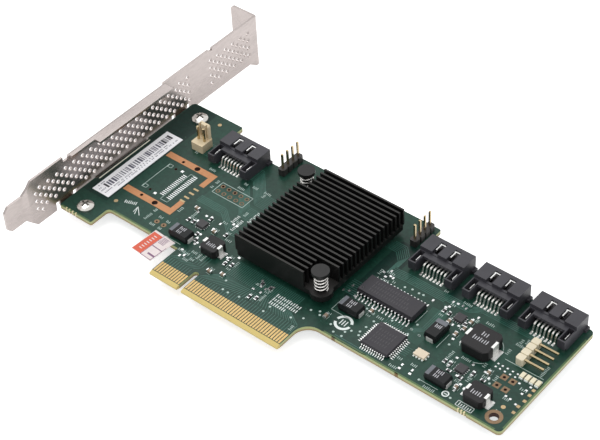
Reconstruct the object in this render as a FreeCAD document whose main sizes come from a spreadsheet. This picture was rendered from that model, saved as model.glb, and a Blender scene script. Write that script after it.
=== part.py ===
"""Four-port raid controller card with a perforated full-height bracket.

The frame: X runs along the board away from the bracket, Y from the edge connector to the
opposite edge, Z out of the component side. The origin is the centre of the key notch, on the
lower edge of the connector tab, on the component-side surface. Millimetres.
"""
import FreeCAD, Part
import collections
import operator
import os
import sys

import Sketcher

V = FreeCAD.Vector
Round = collections.namedtuple("Round", "x y radius")

doc = FreeCAD.newDocument("raid_controller_card")
sheet = doc.addObject("Spreadsheet::Sheet", "Sizes")
pieces = []
sheet_rows = []
SIGNS = {"+": operator.add, "-": operator.sub, "*": operator.mul, "/": operator.truediv}


# ---------------------------------------------------------------- sizes and expressions

class Size:
    """A length together with the expression that works it out from the sheet."""

    def __init__(self, value, text):
        self.value = value
        self.text = text

    def __add__(self, other):
        return worked_out(self, "+", other)

    def __radd__(self, other):
        return worked_out(other, "+", self)

    def __sub__(self, other):
        return worked_out(self, "-", other)

    def __rsub__(self, other):
        return worked_out(other, "-", self)

    def __mul__(self, other):
        return worked_out(self, "*", other)

    def __rmul__(self, other):
        return worked_out(other, "*", self)

    def __truediv__(self, other):
        return worked_out(self, "/", other)

    def __neg__(self):
        return worked_out(0, "-", self)


def as_size(length):
    if isinstance(length, Size):
        return length
    return Size(float(length), f"({float(length):.6g})")


def worked_out(left, sign, right):
    left = as_size(left)
    right = as_size(right)
    return Size(SIGNS[sign](left.value, right.value), f"({left.text} {sign} {right.text})")


def size(alias, value, meaning):
    """Adds one driving dimension to the sheet."""
    sheet_rows.append(alias)
    row = len(sheet_rows)
    sheet.set(f"A{row}", meaning)
    sheet.set(f"B{row}", str(value))
    sheet.setAlias(f"B{row}", alias)
    return Size(float(value), f"Sizes.{alias}")


def bind(item, path, length):
    item.setExpression(path, as_size(length).text)


# ---------------------------------------------------------------- PartDesign helpers

def body_in_work(name):
    return doc.addObject("PartDesign::Body", name)


def new_body(label):
    return finish(label, body_in_work("Body"))


def finish(label, item):
    """Makes an object one of the finished pieces; its label names its file."""
    item.Label = label
    pieces.append(item)
    return item


def origin_feature(body, role):
    return next(item for item in body.Origin.OriginFeatures if item.Role == role)


def towards(start, end):
    """Unit step from one corner to the next along an axis, as two signs."""
    step_x = as_size(end[0]).value - as_size(start[0]).value
    step_y = as_size(end[1]).value - as_size(start[1]).value
    return (step_x > 1e-9) - (step_x < -1e-9), (step_y > 1e-9) - (step_y < -1e-9)


def outline_points(corners):
    """Lists (x, y, arc) for each point, where arc holds the corner's radius and centre or None."""
    points = []
    for index, corner in enumerate(corners):
        if not isinstance(corner, Round):
            points.append((corner[0], corner[1], None))
            continue
        back = towards(corner, corners[index - 1])
        ahead = towards(corner, corners[(index + 1) % len(corners)])
        centre = (corner.x + (back[0] + ahead[0]) * corner.radius,
                  corner.y + (back[1] + ahead[1]) * corner.radius)
        left_turn = back[1] * ahead[0] - back[0] * ahead[1] > 0
        points.append((corner.x + back[0] * corner.radius, corner.y + back[1] * corner.radius,
                       (corner.radius, centre, left_turn)))
        points.append((corner.x + ahead[0] * corner.radius, corner.y + ahead[1] * corner.radius, None))
    return points


def draw_outline(sketch, corners):
    """Draws one closed outline whose points are all bound to the sheet."""
    points = outline_points(corners)
    first = sketch.GeometryCount
    ends = []
    for index, (x, y, arc) in enumerate(points):
        after = points[(index + 1) % len(points)]
        start = V(as_size(x).value, as_size(y).value, 0)
        end = V(as_size(after[0]).value, as_size(after[1]).value, 0)
        if arc is None:
            sketch.addGeometry(Part.LineSegment(start, end), False)
            ends.append((1, 2))
            continue
        radius, centre, left_turn = arc
        middle = V(as_size(centre[0]).value, as_size(centre[1]).value, 0)
        circle = Part.Circle(middle, V(0, 0, 1), as_size(radius).value)
        if left_turn:
            sketch.addGeometry(Part.ArcOfCircle(circle, circle.parameter(start), circle.parameter(end)), False)
            ends.append((1, 2))
        else:
            sketch.addGeometry(Part.ArcOfCircle(circle, circle.parameter(end), circle.parameter(start)), False)
            ends.append((2, 1))
    for index, (x, y, arc) in enumerate(points):
        here = first + index
        before = first + (index - 1) % len(points)
        begin = ends[index][0]
        sketch.addConstraint(Sketcher.Constraint("Coincident", before, ends[index - 1][1], here, begin))
        constrain(sketch, Sketcher.Constraint("DistanceX", -1, 1, here, begin, as_size(x).value), x)
        constrain(sketch, Sketcher.Constraint("DistanceY", -1, 1, here, begin, as_size(y).value), y)
        if arc is not None:
            constrain(sketch, Sketcher.Constraint("Radius", here, as_size(arc[0]).value), arc[0])


def draw_circle(sketch, circle):
    centre = V(as_size(circle.x).value, as_size(circle.y).value, 0)
    here = sketch.addGeometry(Part.Circle(centre, V(0, 0, 1), as_size(circle.radius).value), False)
    constrain(sketch, Sketcher.Constraint("DistanceX", -1, 1, here, 3, centre.x), circle.x)
    constrain(sketch, Sketcher.Constraint("DistanceY", -1, 1, here, 3, centre.y), circle.y)
    constrain(sketch, Sketcher.Constraint("Radius", here, as_size(circle.radius).value), circle.radius)


def constrain(sketch, constraint, length):
    number = sketch.addConstraint(constraint)
    if isinstance(length, Size):
        sketch.setExpression(f"Constraints[{number}]", length.text)


def sketch_on(body, role, low, high, outlines):
    """A sketch at the start of a pad or pocket that spans low to high along the plane's axis."""
    sketch = body.newObject("Sketcher::SketchObject", "Outline")
    sketch.AttachmentSupport = [(origin_feature(body, role), "")]
    sketch.MapMode = "FlatFace"
    bind(sketch, "AttachmentOffset.Base.z", -high if role == "XZ_Plane" else low)
    for outline in outlines:
        if isinstance(outline, Round):
            draw_circle(sketch, outline)
        else:
            draw_outline(sketch, outline)
    return sketch


def pad(body, role, low, high, outlines):
    sketch = sketch_on(body, role, low, high, outlines)
    feature = body.newObject("PartDesign::Pad", "Pad")
    feature.Profile = sketch
    bind(feature, "Length", high - low)
    body.Tip = feature
    return feature


def pocket(body, role, low, high, outlines):
    sketch = sketch_on(body, role, low, high, outlines)
    feature = body.newObject("PartDesign::Pocket", "Pocket")
    feature.Profile = sketch
    feature.Reversed = True
    bind(feature, "Length", high - low)
    body.Tip = feature
    return feature


def repeat(body, feature, axis_role, pitch, count):
    pattern = body.newObject("PartDesign::LinearPattern", "Row")
    pattern.Originals = [feature]
    pattern.Direction = (origin_feature(body, axis_role), [""])
    pattern.Mode = "Spacing"
    bind(pattern, "Offset", pitch)
    bind(pattern, "Occurrences", count)
    body.Tip = pattern
    return pattern


def rectangle(x_low, x_high, y_low, y_high):
    return [(x_low, y_low), (x_high, y_low), (x_high, y_high), (x_low, y_high)]


def rounded(x_low, x_high, y_low, y_high, radius):
    return [Round(x, y, radius) for x, y in rectangle(x_low, x_high, y_low, y_high)]


def chamfered(x_low, x_high, y_low, y_high, cut):
    return [(x_low + cut, y_low), (x_high - cut, y_low), (x_high, y_low + cut), (x_high, y_high - cut),
            (x_high - cut, y_high), (x_low + cut, y_high), (x_low, y_high - cut), (x_low, y_low + cut)]


# ---------------------------------------------------------------- Part primitive helpers

def block(x_low, x_high, y_low, y_high, z_low, z_high):
    solid = doc.addObject("Part::Box", "Block")
    bind(solid, "Length", x_high - x_low)
    bind(solid, "Width", y_high - y_low)
    bind(solid, "Height", z_high - z_low)
    place(solid, x_low, y_low, z_low)
    return solid


def cylinder(x, y, z_low, z_high, radius):
    solid = doc.addObject("Part::Cylinder", "Round")
    bind(solid, "Radius", radius)
    bind(solid, "Height", z_high - z_low)
    place(solid, x, y, z_low)
    return solid


def cylinder_x(x_low, x_high, y, z, radius):
    solid = cylinder(x_low, y, 0, x_high - x_low, radius)
    solid.Placement.Rotation = FreeCAD.Rotation(V(0, 1, 0), 90)
    place(solid, x_low, y, z)
    return solid


def ball(x, y, z, radius):
    solid = doc.addObject("Part::Sphere", "Ball")
    bind(solid, "Radius", radius)
    place(solid, x, y, z)
    return solid


def place(solid, x, y, z):
    bind(solid, "Placement.Base.x", x)
    bind(solid, "Placement.Base.y", y)
    bind(solid, "Placement.Base.z", z)


def frustum(x, y, z_wide, z_narrow, length, width, inset):
    """A drafted block: its full outline at z_wide, smaller by inset all round at z_narrow."""
    solid = doc.addObject("Part::Wedge", "Drafted")
    upward = z_narrow.value > z_wide.value
    bind(solid, "Xmin", -length / 2)
    bind(solid, "Xmax", length / 2)
    bind(solid, "Zmin", -width / 2)
    bind(solid, "Zmax", width / 2)
    bind(solid, "X2min", inset - length / 2)
    bind(solid, "X2max", length / 2 - inset)
    bind(solid, "Z2min", inset - width / 2)
    bind(solid, "Z2max", width / 2 - inset)
    bind(solid, "Ymax", z_narrow - z_wide if upward else z_wide - z_narrow)
    solid.Placement.Rotation = FreeCAD.Rotation(V(1, 0, 0), 90 if upward else -90)
    place(solid, x, y, z_wide)
    return solid


def fuse(shapes):
    joined = doc.addObject("Part::MultiFuse", "Joined")
    joined.Shapes = shapes
    return joined


def cut(base, tool):
    result = doc.addObject("Part::Cut", "Trimmed")
    result.Base = base
    result.Tool = tool
    return result


def shared(first, second):
    both = doc.addObject("Part::MultiCommon", "Shared")
    both.Shapes = [first, second]
    return both


def compound(solids):
    together = doc.addObject("Part::Compound", "Together")
    together.Links = solids
    return together


def group(label, solids):
    """One finished node made of separate solids."""
    return finish(label, compound(solids))


# ---------------------------------------------------------------- driving dimensions

board_thick = size("board_thick", 1.57, "board thickness")
board_left = size("board_left", -56.2, "board edge at the bracket")
board_right = size("board_right", 109.0, "board edge away from the bracket")
board_top = size("board_top", 68.9, "board height over the connector tab")
board_low = size("board_low", 12.95, "board edge beside the connector tab")
board_corner = size("board_corner", 1.5, "radius of the board's corners")
tight_corner = size("tight_corner", 0.6, "radius of its tighter corners")
step_depth = size("step_depth", 7.8, "depth of the two recesses in the upper edge")
foot_low = size("foot_low", 4.8, "lower edge of the foot at the bracket")
foot_width = size("foot_width", 14.0, "width of the foot")
tab_left = size("tab_left", -12.15, "connector tab, near end")
tab_right = size("tab_right", 39.15, "connector tab, far end")
key_width = size("key_width", 1.9, "key notch width")
key_top = size("key_top", 8.8, "key notch depth")
tab_bevel = size("tab_bevel", 1.3, "length of the bevel on the tab")
tab_bevel_depth = size("tab_bevel_depth", 0.45, "depth of that bevel on each face")
contact_pitch = size("contact_pitch", 1.0, "edge contact pitch")
contact_width = size("contact_width", 0.7, "edge contact width")
contact_low = size("contact_low", 1.5, "edge contact, lower end")
contact_high = size("contact_high", 5.8, "edge contact, upper end")
foil = size("foil", 0.05, "thickness of exposed metal on the board")

metal = size("metal", 0.86, "bracket sheet thickness")
bend = size("bend", 0.5, "inner bend radius of the bracket")
bracket_gap = size("bracket_gap", 1.1, "from the board edge to the bracket's inner face")
bracket_low = size("bracket_low", -2.95, "bracket plate, solder-side edge")
bracket_width = size("bracket_width", 18.42, "bracket plate width")
bracket_length = size("bracket_length", 120.02, "flange face to tongue tip")
tongue_tip = size("tongue_tip", -15.62, "tip of the bracket's tongue")
flange_depth = size("flange_depth", 11.7, "screw flange depth")
tongue_width = size("tongue_width", 10.19, "tongue width")
tongue_low = size("tongue_low", 1.26, "tongue, solder-side edge")
vent_radius = size("vent_radius", 0.775, "radius of the vent holes")
vent_pitch = size("vent_pitch", 3.83, "vent hole pitch along a row")
vent_row = size("vent_row", 1.567, "pitch of the rows of vent holes")
vent_start = size("vent_start", -0.9, "first vent hole")
vent_field = size("vent_field", 79.53, "first vent hole of the upper field")
vent_clear = size("vent_clear", 5.2, "from the flange to the last vent hole, at least")
vent_low = size("vent_low", 1.4, "first row of vent holes")
ear_width = size("ear_width", 6.0, "width of the bracket's board tabs")
screw_inset = size("screw_inset", 7.7, "from the board edge to the bracket screws")
screw_low = size("screw_low", 9.0, "first bracket screw")
screw_pitch = size("screw_pitch", 54.4, "distance between the bracket screws")
screw_radius = size("screw_radius", 1.5, "bracket screw shank radius")
screw_head = size("screw_head", 2.75, "bracket screw head radius")
screw_rise = size("screw_rise", 1.9, "bracket screw head height")
play = size("play", 0.1, "radial play of shanks and pins in their holes")

# ---------------------------------------------------------------- board

step_edge = board_top - step_depth
foot_right = board_left + foot_width
key_half = key_width / 2
recess_left = size("recess_left", -34.1, "first upper recess, near end")
recess_right = size("recess_right", -10.0, "first upper recess, far end")
long_recess = size("long_recess", 47.9, "second upper recess, near end")
side_notch_low = size("side_notch_low", 21.2, "recess in the edge at the bracket, lower end")
side_notch_high = size("side_notch_high", 46.0, "recess in the edge at the bracket, upper end")
side_notch_depth = size("side_notch_depth", 1.1, "depth of that recess")
tab_fillet = size("tab_fillet", 5.3, "fillet from the tab to the board edge")
board_hole_radius = size("board_hole_radius", 1.5, "radius of the mounting hole")
hole_from_right = size("hole_from_right", 4.7, "mounting hole to the far edge")
hole_from_low = size("hole_from_low", 3.85, "mounting hole to the lower edge")
header_pitch = size("header_pitch", 2.54, "header pin pitch")
pin_side = size("pin_side", 0.64, "header pin thickness")
pin_hole = size("pin_hole", 0.5, "radius of the drilled pin holes")
pin_tail = size("pin_tail", 1.5, "length of the pin tails below the board")

screw_x = board_left + screw_inset
board = new_body("circuit_board")
pad(board, "XY_Plane", -board_thick, 0, [[
    (tab_left, 0), (-key_half, 0), Round(-key_half, key_top, key_half * 0.95),
    Round(key_half, key_top, key_half * 0.95), (key_half, 0), (tab_right, 0),
    Round(tab_right, board_low, tab_fillet),
    Round(board_right, board_low, board_corner), Round(board_right, step_edge, board_corner),
    Round(long_recess, step_edge, board_corner), Round(long_recess, board_top, tight_corner),
    Round(recess_right, board_top, tight_corner), Round(recess_right, step_edge, board_corner),
    Round(recess_left, step_edge, board_corner), Round(recess_left, board_top, tight_corner),
    Round(board_left, board_top, board_corner),
    (board_left, side_notch_high), (board_left + side_notch_depth, side_notch_high),
    (board_left + side_notch_depth, side_notch_low), (board_left, side_notch_low),
    Round(board_left, foot_low, tight_corner), Round(foot_right, foot_low, tight_corner),
    Round(foot_right, board_low, board_corner), (tab_left, board_low),
]])
for face, inward in ((0 * board_thick, -tab_bevel_depth), (-board_thick, tab_bevel_depth)):
    bevel = [(0 * tab_bevel, face), (tab_bevel, face), (0 * tab_bevel, face + inward)]
    if face.value < 0:
        bevel.reverse()
    pocket(board, "YZ_Plane", tab_left - 1, tab_right + 1, [bevel])

contact_first = size("contact_first", -11.5, "first edge contact")
contact_restart = size("contact_restart", 1.5, "first edge contact after the key notch")
fingers = []
for z_low in (0 * foil, -board_thick - foil):
    for first, count in ((contact_first, 11), (contact_restart, 38)):
        for index in range(count):
            x_low = first + index * contact_pitch - contact_width / 2
            fingers.append(block(x_low, x_low + contact_width, contact_low, contact_high, z_low, z_low + foil))
group("edge_contacts", fingers)

# Holes drilled right through the board; each section below adds its own.
screw_hole = screw_radius + play
board_hole_x = board_right - hole_from_right
board_hole_y = board_low + hole_from_low
drilled = [
    Round(board_hole_x, board_hole_y, board_hole_radius),
    Round(screw_x, screw_low, screw_hole),
    Round(screw_x, screw_low + screw_pitch, screw_hole),
]

# Where the board was broken out of its panel: two short rows of half holes in its edge.
bite_radius = size("bite_radius", 0.3, "radius of the break-out holes")
bite_pitch = size("bite_pitch", 0.8, "pitch of the break-out holes")
bite_foot = size("bite_foot", 4.2, "first break-out hole in the foot")
bite_lower = size("bite_lower", 14.2, "first break-out hole in the lower edge to the far edge")
for index in range(4):
    drilled.append(Round(board_left + bite_foot + index * bite_pitch, foot_low, bite_radius))
    drilled.append(Round(board_right - bite_lower + index * bite_pitch, board_low, bite_radius))

# ---------------------------------------------------------------- bracket

plate_in = board_left - bracket_gap
plate_out = plate_in - metal
plate_high = bracket_low + bracket_width
bracket_far = tongue_tip + bracket_length
tongue_high = tongue_low + tongue_width
flange_end = plate_in - flange_depth
joggle = size("joggle", 0.5, "offset of the tongue from the plate")
tongue_length = size("tongue_length", 7.62, "length of the tongue below that offset")
joggle_run = size("joggle_run", 2.0, "length of that offset")
shoulder = size("shoulder", 4.1, "chamfer from the tongue to the plate")
tip_cut = size("tip_cut", 1.7, "chamfer at the tongue's tip")
flange_low = size("flange_low", -5.3, "screw flange, solder-side edge")
flange_short = size("flange_short", 0.47, "set-back of the screw flange on the other edge")
flare_from = size("flare_from", 5.4, "from the flange to where the plate starts to narrow")
flare_to = size("flare_to", 2.0, "from the flange to where it is widest")
flange_corner = size("flange_corner", 1.5, "radius of the screw flange's corners")
slot_width = size("slot_width", 4.42, "screw slot width")
slot_depth = size("slot_depth", 6.4, "screw slot depth")
slot_inset = size("slot_inset", 6.6, "screw slot's centre line to the plate")
rib_start = size("rib_start", 12.5, "stiffening flange, lower end")
rib_step = size("rib_step", 22.8, "where it widens")
rib_end = size("rib_end", 57.0, "stiffening flange, upper end")
rib_narrow = size("rib_narrow", 1.9, "stiffening flange, narrow reach")
rib_wide = size("rib_wide", 4.2, "stiffening flange, wide reach")
lip_end = size("lip_end", 46.8, "lower lip, upper end")
lip_reach = size("lip_reach", 1.2, "lower lip, reach")
relief = size("relief", 1.6, "width of the relief cuts beside the bent tabs")
relief_top = size("relief_top", 0.2, "depth of those cuts")
nick = size("nick", 0.8, "depth of the small nick in the plate's edge")
nick_place = size("nick_place", 79.2, "its lower end")
ear_reach = size("ear_reach", 12.0, "reach of the board tabs from the plate")

outer_bend = bend + metal
joggle_low = tongue_tip + tongue_length
joggle_high = joggle_low + joggle_run
flare_start = bracket_far - flare_from
flare_end = bracket_far - flare_to
ear_low = -board_thick - metal
low_bend = bracket_low + outer_bend
high_bend = plate_high - outer_bend
ears = [(screw_low + step - ear_width / 2, screw_low + step + ear_width / 2)
        for step in (0 * screw_pitch, screw_pitch)]

bracket_blank = body_in_work("BracketBlank")
pad(bracket_blank, "XY_Plane", flange_low, plate_high, [[
    (plate_in - joggle, tongue_tip), (plate_in - joggle, joggle_low), (plate_in, joggle_high),
    Round(plate_in, bracket_far, outer_bend),
    (flange_end, bracket_far), (flange_end, bracket_far - metal),
    Round(plate_out, bracket_far - metal, bend),
    (plate_out, joggle_high), (plate_out - joggle, joggle_low), (plate_out - joggle, tongue_tip),
]])

# The flat blank's outline, seen along X; everything outside it is cut away.
lower_edge = [(joggle_low, tongue_low), (joggle_low + shoulder, bracket_low)]
for ear_start, ear_end in ears:
    lower_edge += [
        (ear_start - relief, bracket_low), (ear_start - relief, relief_top), (ear_start, relief_top),
        (ear_start, -board_thick + bend), (ear_end, -board_thick + bend),
        (ear_end, relief_top), (ear_end + relief, relief_top), (ear_end + relief, bracket_low),
    ]
    if ear_end.value < lip_end.value:
        lower_edge += [(rib_step, bracket_low), (rib_step, low_bend), (lip_end, low_bend), (lip_end, bracket_low)]
margin = size("margin", 3.0, "how far the cutting outlines reach past the sheet")
blank = lower_edge + [
    (flare_start, bracket_low), (flare_end, flange_low), (bracket_far + margin, flange_low),
    (bracket_far + margin, plate_high),
    (nick_place + nick * 2, plate_high), (nick_place + nick * 2, plate_high - nick),
    (nick_place, plate_high - nick), (nick_place, plate_high),
    (rib_end, plate_high), (rib_end, high_bend), (rib_start, high_bend), (rib_start, high_bend - bend),
    (rib_start - relief * 1.5, high_bend - bend), (rib_start - relief * 1.5, plate_high),
    (joggle_low + shoulder, plate_high), (joggle_low, tongue_high),
    (tongue_tip + tip_cut, tongue_high), (tongue_tip, tongue_high - tip_cut),
    (tongue_tip, tongue_low + tip_cut), (tongue_tip + tip_cut, tongue_low),
]
around = rectangle(tongue_tip - margin, bracket_far + 2 * margin, flange_low - margin, plate_high + margin)
pocket(bracket_blank, "YZ_Plane", flange_end - margin, plate_in + margin, [around, blank])

# The screw flange's outline and slot, seen along Y.
slot_x = plate_in - slot_inset
slot_half = slot_width / 2
slot_end = slot_half * 0.95
flange_high = plate_high - flange_short
pocket(bracket_blank, "XZ_Plane", bracket_far - outer_bend, bracket_far + margin, [
    rectangle(flange_end - margin, plate_in + 2 * margin, flange_low - margin, plate_high + margin),
    [Round(flange_end, flange_low, flange_corner), (slot_x - slot_half, flange_low),
     Round(slot_x - slot_half, flange_low + slot_depth, slot_end),
     Round(slot_x + slot_half, flange_low + slot_depth, slot_end), (slot_x + slot_half, flange_low),
     (plate_in + margin, flange_low), (plate_in + margin, flange_high),
     Round(flange_end, flange_high, flange_corner)],
])

# Bent edges: the stiffening flange, the lower lip and the two tabs under the board.
for start, end, reach in ((rib_start, rib_step, rib_narrow), (rib_step, rib_end, rib_wide)):
    pad(bracket_blank, "XZ_Plane", start, end, [[
        (plate_out, high_bend - bend), Round(plate_out, plate_high, outer_bend),
        (plate_in + reach, plate_high), (plate_in + reach, plate_high - metal),
        Round(plate_in, plate_high - metal, bend), (plate_in, high_bend - bend)]])
bent_edges = [(rib_step, lip_end, bracket_low, lip_reach)]
bent_edges += [(start, end, ear_low, ear_reach) for start, end in ears]
for start, end, low, reach in bent_edges:
    pad(bracket_blank, "XZ_Plane", start, end, [[
        (plate_out, low + outer_bend + bend), Round(plate_out, low, outer_bend),
        (plate_in + reach, low), (plate_in + reach, low + metal),
        Round(plate_in, low + metal, bend), (plate_in, low + outer_bend + bend)]])
pocket(bracket_blank, "XY_Plane", ear_low - metal, relief_top, [
    Round(screw_x, screw_low, screw_hole), Round(screw_x, screw_low + screw_pitch, screw_hole)])

# Seven staggered rows of vent holes in two fields; the first row has gaps beside the shoulder.
lower_columns = 19
vents = []
for row in range(7):
    shift = 0.5 * (row % 2)
    field_start = vent_start - shift * vent_pitch
    columns = [0, *range(5, lower_columns)] if row == 0 else range(lower_columns)
    places = [field_start + column * vent_pitch for column in columns]
    place_up = vent_field + shift * vent_pitch
    while place_up.value < (bracket_far - vent_clear).value:
        places.append(place_up)
        place_up = place_up + vent_pitch
    for place_up in places:
        vents.append(cylinder_x(plate_out - bend, plate_in + bend, place_up,
                                vent_low + row * vent_row, vent_radius))
finish("bracket", cut(bracket_blank, compound(vents)))

# ---------------------------------------------------------------- bracket screws

screws = []
screw_cross = size("screw_cross", 0.7, "width of the screws' cross recess")
screw_dome = size("screw_dome", 1.1, "height of the domed part of a screw's head")
dome_radius = (screw_head * screw_head + screw_dome * screw_dome) / (screw_dome * 2)
for index in range(2):
    y = screw_low + index * screw_pitch
    head = shared(cylinder(screw_x, y, 0 * screw_rise, screw_rise, screw_head),
                  ball(screw_x, y, screw_rise - dome_radius, dome_radius))
    shank = cylinder(screw_x, y, ear_low - metal, 0 * screw_rise, screw_radius)
    arm = screw_head * 0.55
    deep = screw_rise * 0.4
    recess = fuse([
        block(screw_x - arm, screw_x + arm, y - screw_cross / 2, y + screw_cross / 2, deep, screw_rise * 2),
        block(screw_x - screw_cross / 2, screw_x + screw_cross / 2, y - arm, y + arm, deep, screw_rise * 2),
    ])
    screws.append(cut(fuse([head, shank]), recess))
group("bracket_screws", screws)

# ---------------------------------------------------------------- drive receptacles

sata_half = size("sata_half", 8.1, "half width of a receptacle")
sata_high = size("sata_high", 5.5, "receptacle height")
sata_wall = size("sata_wall", 0.7, "receptacle wall")
sata_length = size("sata_length", 6.4, "length of a receptacle's hood")
sata_depth = size("sata_depth", 5.6, "depth of its opening")
sata_rear = size("sata_rear", 6.1, "length of the platform behind the hood")
sata_platform = size("sata_platform", 4.2, "height of that platform")
sata_tower = size("sata_tower", 5.5, "inner side of the platform's towers")
sata_foot = size("sata_foot", 8.9, "half width of the foot")
sata_foot_high = size("sata_foot_high", 1.0, "height of the foot")
sata_foot_long = size("sata_foot_long", 2.2, "length of the foot")
sata_bridge = size("sata_bridge", 2.0, "length of the bridge between the towers")
sata_bridge_thick = size("sata_bridge_thick", 1.0, "thickness of that bridge")
sata_undercut = size("sata_undercut", 1.2, "length of the undercut at the rear of the towers")
sata_well = size("sata_well", 0.95, "half width of the wells in the towers")
sata_well_wall = size("sata_well_wall", 0.5, "wall at the rear of those wells")
sata_knee = size("sata_knee", 2.2, "contact knees to the rear of the towers")
sata_heel = size("sata_heel", 1.5, "contact heels to the rear of the towers")
sata_toe = size("sata_toe", 0.45, "contact toes to the rear of the towers")
sata_ease = size("sata_ease", 0.35, "easing of the contact knees")
sata_pitch = size("sata_pitch", 1.27, "receptacle contact pitch")
sata_wire = size("sata_wire", 0.5, "receptacle contact width")
sata_foil = size("sata_foil", 0.2, "receptacle contact thickness")
tongue_half = size("tongue_half", 5.2, "half width of the receptacle's tongue")
tongue_under = size("tongue_under", 1.5, "underside of that tongue")
tongue_over = size("tongue_over", 2.6, "contact side of that tongue")
key_rise = size("key_rise", 1.1, "height of the tongue's key")
window_half = size("window_half", 1.1, "half width of the latch windows")
window_place = size("window_place", 2.7, "latch windows to the centre line")
window_length = size("window_length", 5.05, "length of the latch windows")
latch_gap = size("latch_gap", 0.3, "metal latches to the edges of their windows")
latch_thick = size("latch_thick", 0.35, "thickness of the metal latches")
sata_spacing = size("sata_spacing", 20.0, "spacing of the three receptacles in a row")
sata_inset = size("sata_inset", 10.4, "first of them to the end of the recess")
sata_overhang = size("sata_overhang", 0.1, "receptacle mouth past the board edge")

sata_front = step_edge + sata_overhang
sata_back = sata_front - sata_length
sata_tail = sata_back - sata_rear
floor = sata_front - sata_depth
sata_centres = [recess_left + sata_inset + 0.3]
sata_centres += [long_recess + sata_inset + index * sata_spacing for index in range(3)]
flat = 0 * sata_wall
clips = []
for number, centre in enumerate(sata_centres, 1):
    housing = new_body(f"sata_housing_{number}")
    pad(housing, "XY_Plane", flat, sata_high, [
        rectangle(centre - sata_half, centre + sata_half, sata_back, sata_front)])
    pad(housing, "XY_Plane", flat, sata_foot_high, [
        rectangle(centre - sata_foot, centre - sata_tower, sata_front - sata_foot_long, sata_front),
        rectangle(centre + sata_tower, centre + sata_foot, sata_front - sata_foot_long, sata_front)])
    pad(housing, "XY_Plane", flat, sata_platform, [
        rectangle(centre - sata_half, centre - sata_tower, sata_tail + sata_undercut, sata_back),
        rectangle(centre + sata_tower, centre + sata_half, sata_tail + sata_undercut, sata_back)])
    pad(housing, "XY_Plane", sata_foot_high, sata_platform, [
        rectangle(centre - sata_half, centre - sata_tower, sata_tail, sata_tail + sata_undercut),
        rectangle(centre + sata_tower, centre + sata_half, sata_tail, sata_tail + sata_undercut)])
    pad(housing, "XY_Plane", sata_platform - sata_bridge_thick, sata_platform, [
        rectangle(centre - sata_tower, centre + sata_tower, sata_back - sata_bridge, sata_back)])
    inner = sata_half - sata_wall
    pocket(housing, "XZ_Plane", floor, sata_front, [
        rectangle(centre - inner, centre + inner, sata_wall, sata_high - sata_wall),
        [(centre - tongue_half, tongue_under), (centre + tongue_half, tongue_under),
         (centre + tongue_half, tongue_over + key_rise),
         (centre + tongue_half - key_rise, tongue_over + key_rise),
         (centre + tongue_half - key_rise, tongue_over), (centre - tongue_half, tongue_over)]])
    slots = []
    for side in (-1, 1):
        middle = centre + side * window_place
        slots.append(rectangle(middle - window_half, middle + window_half,
                               sata_back - sata_wall, sata_back + window_length))
    pocket(housing, "XY_Plane", sata_high - sata_wall - 0.4, sata_high + 1, slots)
    clip_slots = []
    for side in (-1, 1):
        middle = centre + side * (sata_half + sata_tower) / 2
        clip_slots.append(rectangle(middle - sata_well, middle + sata_well,
                                    sata_tail + sata_well_wall, sata_back - sata_wall / 2))
    pocket(housing, "XY_Plane", flat - 1, sata_platform + 1, clip_slots)
    channel = pocket(housing, "XZ_Plane", sata_back - 1, floor + 1, [
        rectangle(centre - 3 * sata_pitch - sata_wire / 2 - 0.05, centre - 3 * sata_pitch + sata_wire / 2 + 0.05,
                  tongue_over, tongue_over + sata_foil)])
    repeat(housing, channel, "X_Axis", sata_pitch, 7)

    wires = new_body(f"sata_contacts_{number}")
    top = tongue_over + sata_foil
    knee = sata_tail + sata_knee
    heel = sata_tail + sata_heel
    toe = sata_tail + sata_toe
    wire = pad(wires, "YZ_Plane", centre - 3 * sata_pitch - sata_wire / 2, centre - 3 * sata_pitch + sata_wire / 2, [[
        (sata_front - sata_wall, tongue_over), (sata_front - sata_wall, top), (knee + sata_ease, top),
        (knee, top - sata_ease), (heel, sata_foil), (toe, sata_foil), (toe, flat), (heel + sata_foil, flat),
        (knee + sata_foil, tongue_over - sata_ease), (knee + sata_ease + sata_foil, tongue_over)]])
    repeat(wires, wire, "X_Axis", sata_pitch, 7)

    for side in (-1, 1):
        middle = centre + side * (sata_half + sata_tower) / 2
        left = middle - sata_well + play
        right = middle + sata_well - play
        start = sata_tail + sata_undercut + play
        end = sata_back - sata_wall / 2 - play
        upstand = (end - start) / 5
        clips.append(fuse([
            block(left, right, start, end, flat, sata_foil),
            block(middle - sata_foil / 2, middle + sata_foil / 2, start + upstand, end - upstand,
                  flat, sata_platform * 0.75)]))
        window_end = sata_back + window_length
        latch_left = centre + side * window_place - window_half + latch_gap
        latch_right = latch_left + window_half * 2 - latch_gap * 2
        latch_end = window_end - latch_gap
        latch_low = sata_high - sata_wall - sata_foil
        latch_high = sata_high - sata_wall / 2
        clips.append(fuse([
            block(latch_left, latch_right, latch_end - latch_thick, latch_end, latch_low, latch_high),
            block(latch_left, latch_left + latch_thick, latch_end - window_length * 0.6, latch_end,
                  latch_low, latch_high),
            block(latch_left + latch_thick, latch_right - latch_thick, latch_end, window_end,
                  latch_low, latch_low + sata_foil * 2)]))
group("sata_clips", clips)

# ---------------------------------------------------------------- straight pin headers

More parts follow.
